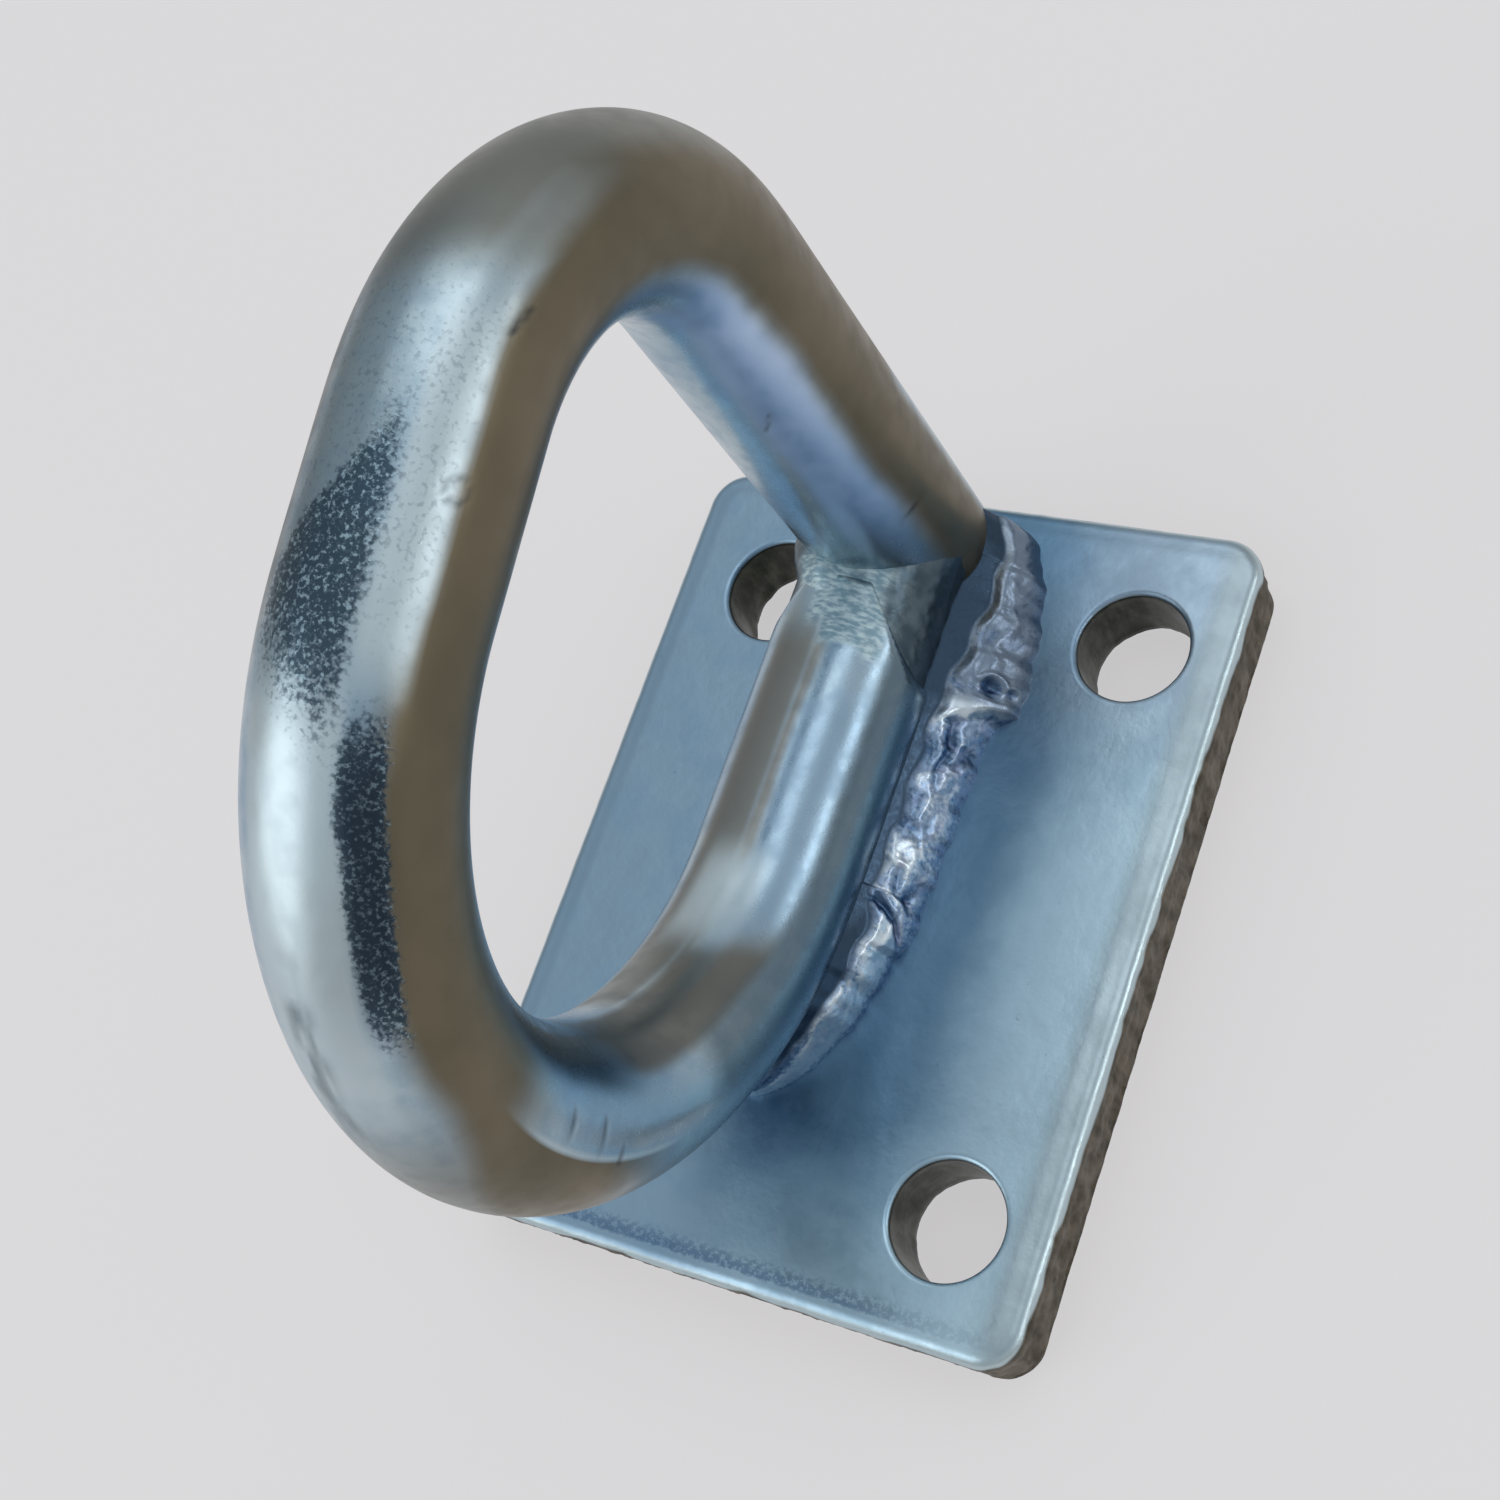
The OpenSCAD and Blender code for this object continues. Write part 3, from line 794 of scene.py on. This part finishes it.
# %% [markdown]
# ## How the finishes are made
# A finish is a small tree of nodes, and it reads two things: noise, for what varies anywhere, and the shares
# painted on the vertices, for what sits in one place. One function adds any node. A colour is written as it
# looks on the screen and turned to the linear values that light adds up in.
# All the finishes here are zinc plating. It is a metal, so metallic is 1 and the IOR is left as it is, and
# its roughness lies between 0.2 and 0.45: bright from the bath, duller where it is rubbed, ground or torn.

# %% Colours and nodes
SMOOTH = {"clamp": True, "interpolation_type": "SMOOTHSTEP"}
BLEND = {"data_type": "RGBA", "blend_type": "MIX"}
TIMES, PLUS, MINUS = {"operation": "MULTIPLY"}, {"operation": "ADD"}, {"operation": "SUBTRACT"}
LARGER, SMALLER = {"operation": "MAXIMUM"}, {"operation": "MINIMUM"}


def linear(hex_colour):
    """A colour written as RRGGBB becomes the linear values that shaders use."""
    values = [int(hex_colour[i:i + 2], 16) / 255 for i in (0, 2, 4)]
    return [v / 12.92 if v <= 0.04045 else ((v + 0.055) / 1.055) ** 2.4 for v in values] + [1.0]


def add_node(tree, kind, settings=None, out=0, **inputs):
    """Adds a node, sets its fields and inputs, and gives its output out, or the node if out is None.

    An input goes by its name, with _ for a space, or by its number as i0, i1 and so on.
    It takes another node's output, a number, a vector, or a colour as RRGGBB.
    """
    made = tree.nodes.new("ShaderNode" + kind)
    for field, value in (settings or {}).items():
        setattr(made, field, value)
    for key, value in inputs.items():
        by_number = key[0] == "i" and key[1:].isdigit()
        socket = made.inputs[int(key[1:]) if by_number else key.replace("_", " ")]
        if isinstance(value, bpy.types.NodeSocket):
            tree.links.new(value, socket)
        else:
            socket.default_value = linear(value) if isinstance(value, str) else value
    return made if out is None else made.outputs[out]


print("mid grey 808080 is", [round(v, 3) for v in linear("808080")])


# %% What all finishes share
def new_finish(name):
    """An empty material, the function that adds nodes to it, and the place on the object in millimetres."""
    made = bpy.data.materials.new(name)
    made.use_nodes = True
    made.node_tree.nodes.clear()
    add = partial(add_node, made.node_tree)
    place = add("TexCoord", None, "Object")
    return made, add, add("VectorMath", {"operation": "SCALE"}, Vector=place, Scale=1 / MM)


def coated(add, colour, coats):
    """Lays coats over a colour, one after the other: each has a share, a strength and its own colour."""
    for share, strength, coat in coats:
        share = add("Math", TIMES, i0=share, i1=strength)
        colour = add("Mix", BLEND, 2, i0=share, i6=colour, i7=coat)
    return colour


def roughened(add, roughness, patches):
    """Adds to a roughness where a share is high."""
    for share, more in patches:
        more = add("Math", TIMES, i0=share, i1=more)
        roughness = add("Math", PLUS, i0=roughness, i1=more)
    return roughness


def zinc(add, colour, roughness, normal):
    """Zinc is a metal, so the light that it mirrors takes its colour, and nothing else adds to it."""
    look = add("BsdfPrincipled", Metallic=1.0, Base_Color=colour, Roughness=roughness, Normal=normal)
    add("OutputMaterial", None, None, Surface=look)


# %% Sizes of the patterns on the bar, in mm
# Clouds in the passivation are about as wide as the bar, and its blotches a few millimetres
CLOUD = 20
BLOTCH = 2.857
# Zinc crystals are near 0.05 mm, too fine to show from here, so they are drawn as coarse as they need to show
CRYSTAL = 0.3846
SPARKLE = 0.3571
# Speckles of wear are about half a millimetre, with grit of much the same size between them
SPECKLE_EDGE = 0.5556
SPECKLE_GRIT = 0.4545
# A coarse disc leaves marks of 0.3 mm, drawn wider so that they show
GRINDER_MARK = 1.25
print("patterns from", SPARKLE, "to", CLOUD, "mm")


# %% The patch that the grinder left
def grinder_patch(add, mm):
    """Fine marks across the bar, and the chalky colour that zinc takes on ground steel."""
    marks = add("VectorMath", TIMES, i0=mm, i1=(1, 2.4, 1))
    marks = add("TexNoise", Vector=marks, Scale=1 / GRINDER_MARK, Detail=3.0, Roughness=0.5)
    share = add("MapRange", SMOOTH, Value=marks, From_Min=0.35, From_Max=0.65)
    return marks, add("Mix", BLEND, 2, i0=share, i6="86A2B0", i7="BFD3D8")


print("grinder marks", GRINDER_MARK, "mm apart")

# %% [markdown]
# ## Zinc plating on the bar
# The real finish is electroplated zinc with a blue passivation, on drawn mild steel. To the eye it is a soft
# mirror, blue to grey, worn to dark speckles in places. The brown that it mirrors, its dark reflections and
# its highlights are painted here as colour.
# A single mirror material would look new, so each share that was painted on the bar lays its own coat.

# %% Zinc plating on drawn bar
def speckles_and_shade(add, mm, speckle):
    """Dark spots of wear with ragged edges, darkened further as painted shade, and the fine silver grit that
    shows between them.
    """
    edge = add("TexNoise", Vector=mm, Scale=1 / SPECKLE_EDGE, Detail=2.0, Roughness=0.5)
    edge = add("MapRange", SMOOTH, Value=edge, From_Min=0.3, From_Max=0.7, To_Min=-0.22, To_Max=0.22)
    spots = add("Math", PLUS, i0=speckle, i1=edge)
    spots = add("MapRange", SMOOTH, Value=spots, From_Min=0.2, From_Max=0.8)
    grit = add("TexNoise", Vector=mm, Scale=1 / SPECKLE_GRIT, Detail=3.0, Roughness=0.6)
    grit = add("MapRange", SMOOTH, Value=grit, From_Min=0.5, From_Max=0.68)
    return spots, add("Mix", BLEND, 2, i0=grit, i6="2C4050", i7="96AEBB")


def bar_finish():
    made, add, mm = new_finish("plated_bar")
    on = {name: add("Attribute", {"attribute_name": name}, "Fac") for name in (*PATCHES, "mark", "ground")}
    clouds = add("TexNoise", Vector=mm, Scale=1 / CLOUD, Detail=3.0, Roughness=0.5)
    blotches = add("TexNoise", Vector=mm, Scale=1 / BLOTCH, Detail=4.0, Roughness=0.5)
    crystals = add("TexNoise", Vector=mm, Scale=1 / CRYSTAL, Detail=3.0, Roughness=0.5)
    cells = add("TexVoronoi", None, "Color", Vector=mm, Scale=1 / SPARKLE)
    sparkle = add("SeparateColor", Color=cells)

    share = add("MapRange", SMOOTH, Value=clouds, From_Min=0.35, From_Max=0.65)
    colour = add("Mix", BLEND, 2, i0=share, i6="98B1C4", i7="AFC2CB")
    share = add("MapRange", SMOOTH, Value=clouds, From_Min=0.3, From_Max=0.7)
    brown = add("Mix", BLEND, 2, i0=share, i6="776E5C", i7="676151")
    blotch = add("MapRange", SMOOTH, Value=blotches, From_Min=0.4, From_Max=0.7)
    spots, worn = speckles_and_shade(add, mm, on["speckle"])
    grinding, chalky = grinder_patch(add, mm)
    # Among these coats the brown is a painted reflection, 465862 is painted shade, C0CFD5 is a rubbed oval
    # with painted highlights, C6DBFA is a painted highlight, and the speckles are wear under painted shade
    colour = coated(add, colour, (
        (blotch, 0.35, "829FB8"), (on["film"], 1.0, brown), (on["pale"], 1.0, "C0CFD5"),
        (on["gloom"], 1.0, "465862"), (on["blue"], 0.85, "C6DBFA"), (spots, 0.9, worn),
        (on["ground"], 1.0, chalky), (on["mark"], 0.8, "212A38"),
    ))

    roughness = add(
        "MapRange", SMOOTH, Value=blotches, From_Min=0.3, From_Max=0.75, To_Min=0.23, To_Max=0.34,
    )
    roughness = roughened(add, roughness, (
        (on["film"], 0.10), (on["pale"], 0.12), (on["ground"], 0.25), (on["mark"], 0.2), (on["blue"], 0.10),
    ))

    pitted = add("Math", TIMES, i0=sparkle, i1=spots)
    ground = add("Math", TIMES, i0=grinding, i1=on["ground"])
    normal = add("Bump", Strength=1.0, Distance=0.008 * MM, Height=crystals)
    normal = add("Bump", Strength=1.0, Distance=0.03 * MM, Height=pitted, Normal=normal)
    normal = add("Bump", Strength=1.0, Distance=0.05 * MM, Height=ground, Normal=normal)
    zinc(add, colour, roughness, normal)
    print(made.name, len(made.node_tree.nodes), "nodes")
    return made


bar_zinc = bar_finish()

# %% [markdown]
# ## Zinc plating on the plate
# Here the plating lies on rolled plate that was welded. Painted shade makes it dark blue along the bead,
# painted light makes its right half paler with a pool on the front right, and a painted shade band runs along
# the right edge, which is also rubbed.
# At the bottom edge the bath left a dark dotted tide line, and the rolled front edge has a painted highlight.
# The sheared sides and the punched bores show brown torn steel, darker in the bores as painted shade. These
# zones follow the plate's edges, so they are worked out from the place in millimetres and not painted on the
# vertices.

# %% Zones of the plate
# The weld follows the bar's right flank, and the painted shade along it reaches to a little past the start of
# the front bend
WELD_X, WELD_END_Y = RING_X + BAR_R, -20.0


def weld_distance(add, x, y):
    """Distance in mm, seen from the front, from the line that the right bead follows."""
    along = add("Math", LARGER, i0=y, i1=WELD_END_Y)
    along = add("Math", SMALLER, i0=along, i1=LEG_Y)
    aside = add("Math", MINUS, i0=x, i1=WELD_X)
    beyond = add("Math", MINUS, i0=y, i1=along)
    flat = add("CombineXYZ", X=aside, Y=beyond)
    return add("VectorMath", {"operation": "LENGTH"}, "Value", Vector=flat)


def zone(add, *ramps):
    """Share of a zone: each ramp goes from 0 to 1 between two places in mm, and all are multiplied."""
    share = 1.0
    for place, start, end in ramps:
        ramp = add("MapRange", SMOOTH, Value=place, From_Min=start, From_Max=end)
        share = add("Math", TIMES, i0=share, i1=ramp)
    return share


def tide_line(add, y, speck):
    """A dark line near the bottom edge, broken up into dots."""
    edge = plate_low[1]
    tide = zone(add, (y, edge + 1.7, edge + 2.3), (y, edge + 5.0, edge + 2.4))
    dots = add("Math", PLUS, i0=speck, i1=tide)
    dots = add("MapRange", SMOOTH, Value=dots, From_Min=0.5, From_Max=1.5)
    return add("Math", TIMES, i0=tide, i1=dots)


# The painted shade along the weld lies on this line
print("heat tint along x =", round(WELD_X, 2), "from y =", WELD_END_Y, "to", round(LEG_Y, 1))

# %% Zinc plating on rolled plate
# Sizes in mm: wide clouds and mist in the passivation, and the uneven border of the painted shade along the
# weld
PLATE_CLOUD, PLATE_MIST, SHADE_EDGE_WAVE = 25, 9.091, 6.25
# Stains of drops, and the specks left where an edge is rubbed
STAIN, WORN_SPECK = 2, 0.6667
# Crystals, drawn as coarse as they need to show, and the grain of the torn steel
PLATE_GRAIN, TORN_GRAIN = 0.5, 2.222


def painted_shade_and_light(add, mm, x, y):
    """The plate's colour with painted light and shade: dark blue painted shade near the weld, and paler on
    the right half than on the left as painted light.
    """
    wave = add("TexNoise", Vector=mm, Scale=1 / SHADE_EDGE_WAVE, Detail=4.0, Roughness=0.5)
    wave = add("MapRange", SMOOTH, Value=wave, From_Min=0.3, From_Max=0.7, To_Min=-1.8, To_Max=1.8)
    far = add("Math", PLUS, i0=weld_distance(add, x, y), i1=wave)
    far = add("MapRange", SMOOTH, Value=far, From_Min=8.0, From_Max=26.0)
    lighter_right = add("Mix", BLEND, 2, i0=zone(add, (x, -8.0, 8.0)), i6="86A0B4", i7="ACC8D8")
    return add("Mix", BLEND, 2, i0=far, i6="5E7E98", i7=lighter_right)


def torn_steel(add, mm):
    """Grain of the torn steel, drawn out through the plate, with the colours of a side, and darker ones for a
    bore as painted shade.
    """
    grain = add("VectorMath", TIMES, i0=mm, i1=(1, 1, 0.35))
    grain = add("TexNoise", Vector=grain, Scale=1 / TORN_GRAIN, Detail=5.0, Roughness=0.6)
    share = add("MapRange", SMOOTH, Value=grain, From_Min=0.3, From_Max=0.7)
    side = add("Mix", BLEND, 2, i0=share, i6="4A4439", i7="756D60")
    share = add("MapRange", SMOOTH, Value=grain, From_Min=0.35, From_Max=0.7)
    return grain, side, add("Mix", BLEND, 2, i0=share, i6="22261F", i7="484A42")


def plate_finish():
    made, add, mm = new_finish("plated_plate")
    x, y, z = add("SeparateXYZ", None, None, Vector=mm).outputs
    torn = add("Attribute", {"attribute_name": "torn"}, "Fac")
    bore = add("Attribute", {"attribute_name": "bore"}, "Fac")
    clouds = add("TexNoise", Vector=mm, Scale=1 / PLATE_CLOUD, Detail=3.0, Roughness=0.5)
    cloud = add("MapRange", SMOOTH, Value=clouds, From_Min=0.45, From_Max=0.7)
    mist = add("TexNoise", Vector=mm, Scale=1 / PLATE_MIST, Detail=5.0, Roughness=0.62)
    misty = add("MapRange", SMOOTH, Value=mist, From_Min=0.45, From_Max=0.62)
    stain = add("TexNoise", Vector=mm, Scale=1 / STAIN, Detail=5.0, Roughness=0.62)
    stain = add("MapRange", SMOOTH, Value=stain, From_Min=0.66, From_Max=0.74)
    speck = add("TexNoise", Vector=mm, Scale=1 / WORN_SPECK, Detail=4.0, Roughness=0.7)
    speck = add("MapRange", SMOOTH, Value=speck, From_Min=0.42, From_Max=0.58)
    right = plate_high[0]
    worn = add("Math", TIMES, i0=zone(add, (x, right - 5.5, right - 2.2)), i1=speck)
    grain, side, wall = torn_steel(add, mm)
    colour = coated(add, painted_shade_and_light(add, mm, x, y), (
        (cloud, 0.3, "7896AF"), (misty, 0.24, "6F93AE"), (worn, 0.55, "B4CFCE"),
        (tide_line(add, y, speck), 0.65, "3B5A7E"),
        (zone(add, (y, 14.0, 34.0), (x, 8.0, 24.0)), 0.6, "93A3B4"),
        # A painted pool of light on the front right of the plate
        (zone(add, (y, 24.0, 8.0), (x, 14.0, 30.0)), 0.55, "C6E0EC"),
        # A painted shade band along the right edge, over the painted light
        (zone(add, (x, right - 6.0, right - 2.4)), 0.75, "98A6AC"),
        # A painted highlight on the rolled front edge
        (zone(add, (z, PLATE_T - 0.2, PLATE_T - 0.6)), 1.0, "BCCED4"),
        # Torn steel on the sides, darker in the bores as painted shade
        (stain, 0.35, "5B6F80"), (torn, 1.0, side), (bore, 1.0, wall),
    ))

    roughness = add(
        "MapRange", SMOOTH, Value=mist, From_Min=0.35, From_Max=0.65, To_Min=0.31, To_Max=0.43,
    )
    crystals = add("TexNoise", Vector=mm, Scale=1 / PLATE_GRAIN, Detail=3.0, Roughness=0.5)
    tearing = add("Math", TIMES, i0=grain, i1=torn)
    normal = add("Bump", Strength=1.0, Distance=0.008 * MM, Height=crystals)
    normal = add("Bump", Strength=1.0, Distance=0.16 * MM, Height=mist, Normal=normal)
    normal = add("Bump", Strength=1.0, Distance=0.15 * MM, Height=tearing, Normal=normal)
    zinc(add, colour, roughened(add, roughness, ((torn, 0.2),)), normal)
    print(made.name, len(made.node_tree.nodes), "nodes")
    return made


plate_zinc = plate_finish()

# %% [markdown]
# ## Zinc plating on the weld metal
# Weld metal freezes in ripples. The bead's own height was painted on it and picks the colour: a pale painted
# highlight on each ridge and deep blue painted shade in each fold, with a painted highlight down the middle
# of the last run. Where the weld ran out thin on the bar, it is smooth, and painted shade makes it dark. The
# groove weld is smoother still: slate grey, with the chalky patch that the grinder left.

# %% Zinc plating on the fillet beads
# Blotches as wide as a ripple, and the grain of frozen metal, drawn as coarse as it needs to show
BEAD_BLOTCH, BEAD_GRAIN = 2.222, 0.5556


def bead_finish():
    made, add, mm = new_finish("plated_weld")
    on = {name: add("Attribute", {"attribute_name": name}, "Fac") for name in ("height", "pad", "wet")}
    blotches = add("TexNoise", Vector=mm, Scale=1 / BEAD_BLOTCH, Detail=4.0, Roughness=0.5)
    blotch = add("MapRange", SMOOTH, Value=blotches, From_Min=0.45, From_Max=0.75)
    grain = add("TexNoise", Vector=mm, Scale=1 / BEAD_GRAIN, Detail=4.0, Roughness=0.6)
    uneven = add("MapRange", SMOOTH, Value=grain, From_Min=0.3, From_Max=0.7, To_Min=-0.12, To_Max=0.12)
    height = add("Math", PLUS, i0=on["height"], i1=uneven)
    # Painted shade in the folds and painted highlights on the crests, read from the painted height
    fold = add("MapRange", SMOOTH, Value=height, From_Min=0.12, From_Max=0.5)
    crest = add("MapRange", SMOOTH, Value=height, From_Min=0.5, From_Max=0.85)
    colour = add("Mix", BLEND, 2, i0=fold, i6="435C7A", i7="869DB8")
    colour = coated(add, colour, (
        (crest, 1.0, "D6E3EC"), (blotch, 0.35, "9C9FBC"),
        # Painted shade over the smooth weld on the bar
        (on["pad"], 0.8, "4C617C"), (on["wet"], 1.0, "3B4D60"),
    ))
    roughness = add("MapRange", SMOOTH, Value=grain, From_Min=0.3, From_Max=0.7, To_Min=0.26, To_Max=0.42)
    zinc(add, colour, roughness, add("Bump", Strength=1.0, Distance=0.03 * MM, Height=grain))
    print(made.name, len(made.node_tree.nodes), "nodes")
    return made


bead_zinc = bead_finish()


# %% Zinc plating on the groove weld
def plug_finish():
    made, add, mm = new_finish("plated_groove")
    ground = add("Attribute", {"attribute_name": "ground"}, "Fac")
    blotches = add("TexNoise", Vector=mm, Scale=1 / BLOTCH, Detail=4.0, Roughness=0.5)
    share = add("MapRange", SMOOTH, Value=blotches, From_Min=0.35, From_Max=0.65)
    slate = add("Mix", BLEND, 2, i0=share, i6="46555F", i7="5C6A72")
    grinding, chalky = grinder_patch(add, mm)
    roughness = add("MapRange", SMOOTH, Value=blotches, From_Min=0.3, From_Max=0.7, To_Min=0.3, To_Max=0.4)
    zinc(
        add, coated(add, slate, ((ground, 1.0, chalky),)), roughened(add, roughness, ((ground, 0.2),)),
        add("Bump", Strength=1.0, Distance=0.05 * MM, Height=grinding),
    )
    print(made.name, len(made.node_tree.nodes), "nodes")
    return made


plug_zinc = plug_finish()

# %% [markdown]
# ## Each piece takes its finish
# On the real part all pieces came out of one bath, and differ only by the steel under the zinc. A material
# of its own for each kind of steel shows that. Each piece is listed with a slot name, which nothing here
# uses;
# the three pieces of weld metal share one.

# %% Give each piece its finish
for obj, finish, slot_name in (
    (plate, plate_zinc, "plated_plate"), (bar, bar_zinc, "plated_bar"), (plug, plug_zinc, "plated_weld"),
    (bead_right, bead_zinc, "plated_weld"), (bead_left, bead_zinc, "plated_weld"),
):
    obj.data.materials.append(finish)
    print(obj.name, "has", finish.name)

# %% [markdown]
# ## Floor and light
# The photograph shows the ring on plain pale ground. A white floor that is only lit would come out grey, so
# its material mixes in some glow for rays from the camera and for reflections, and keeps the object's shadow.
# Metal shows what stands around it, so the light is large and soft: a grey dome, a broad roof panel, a tall
# window in front and a low strip on the right that draws the long highlights on the bar.

# %% Floor
FLOOR_COLOUR = "E0DEDF"
FLOOR_HALF, FLOOR_DROP = 3, 0.0002
FLOOR_GLOW = 0.7


def floor():
    mesh = bpy.data.meshes.new("floor")
    corners = [(x * FLOOR_HALF, y * FLOOR_HALF, 0) for x, y in ((-1, -1), (1, -1), (1, 1), (-1, 1))]
    mesh.from_pydata(corners, [], [(0, 1, 2, 3)])
    obj = bpy.data.objects.new("floor", mesh)
    obj.location.z = -FLOOR_DROP
    bpy.context.scene.collection.objects.link(obj)
    made = bpy.data.materials.new("floor_paint")
    made.use_nodes = True
    made.node_tree.nodes.clear()
    add = partial(add_node, made.node_tree)
    rays = add("LightPath", None, None).outputs
    seen = add("Math", LARGER, i0=rays["Is Camera Ray"], i1=rays["Is Glossy Ray"])
    seen = add("Math", LARGER, i0=seen, i1=rays["Is Transmission Ray"])
    share = add("Math", TIMES, i0=seen, i1=FLOOR_GLOW)
    lit = add("BsdfDiffuse", Color=FLOOR_COLOUR)
    glow = add("Emission", Color=FLOOR_COLOUR, Strength=1.0)
    add("OutputMaterial", None, None, Surface=add("MixShader", Fac=share, i1=lit, i2=glow))
    mesh.materials.append(made)
    print("floor", 2 * FLOOR_HALF, "m wide")


floor()


# %% Lamps
def lamp(name, direction, far, size, radiance):
    """A soft panel in a direction from the object, at a distance; radiance 1 shows as plain white."""
    data = bpy.data.lights.new(name, "AREA")
    data.shape = "RECTANGLE"
    data.size, data.size_y = size
    data.energy = radiance * math.pi * size[0] * size[1]
    obj = bpy.data.objects.new(name, data)
    aim = Vector((0, 0, 0.04))
    obj.location = aim + Vector(direction).normalized() * far
    obj.rotation_mode = "QUATERNION"
    obj.rotation_quaternion = (aim - obj.location).to_track_quat("-Z", "Y")
    bpy.context.scene.collection.objects.link(obj)
    print(name, round(data.energy, 2), "W")


lamp("roof", (0.0, 0.36, 0.93), 1.0, (0.9, 0.6), 0.95)
lamp("window", (-0.58, -0.64, 0.50), 0.8, (0.56, 0.66), 1.22)
lamp("strip", (0.90, 0.16, 0.38), 0.7, (0.55, 0.14), 2.8)


# %% World
def dome():
    """A soft grey dome, a little darker towards the horizon."""
    world = bpy.data.worlds.new("studio")
    bpy.context.scene.world = world
    world.use_nodes = True
    world.node_tree.nodes.clear()
    add = partial(add_node, world.node_tree)
    height = add("SeparateXYZ", None, 2, Vector=add("TexCoord", None, "Generated"))
    share = add("MapRange", SMOOTH, Value=height, From_Min=0.0, From_Max=0.8)
    colour = add("Mix", BLEND, 2, i0=share, i6="AFAEAC", i7="CBD0D4")
    add("OutputWorld", None, None, Surface=add("Background", Color=colour, Strength=1.0))
    print("world", world.name)


dome()
bpy.context.scene.view_settings.view_transform = "Standard"
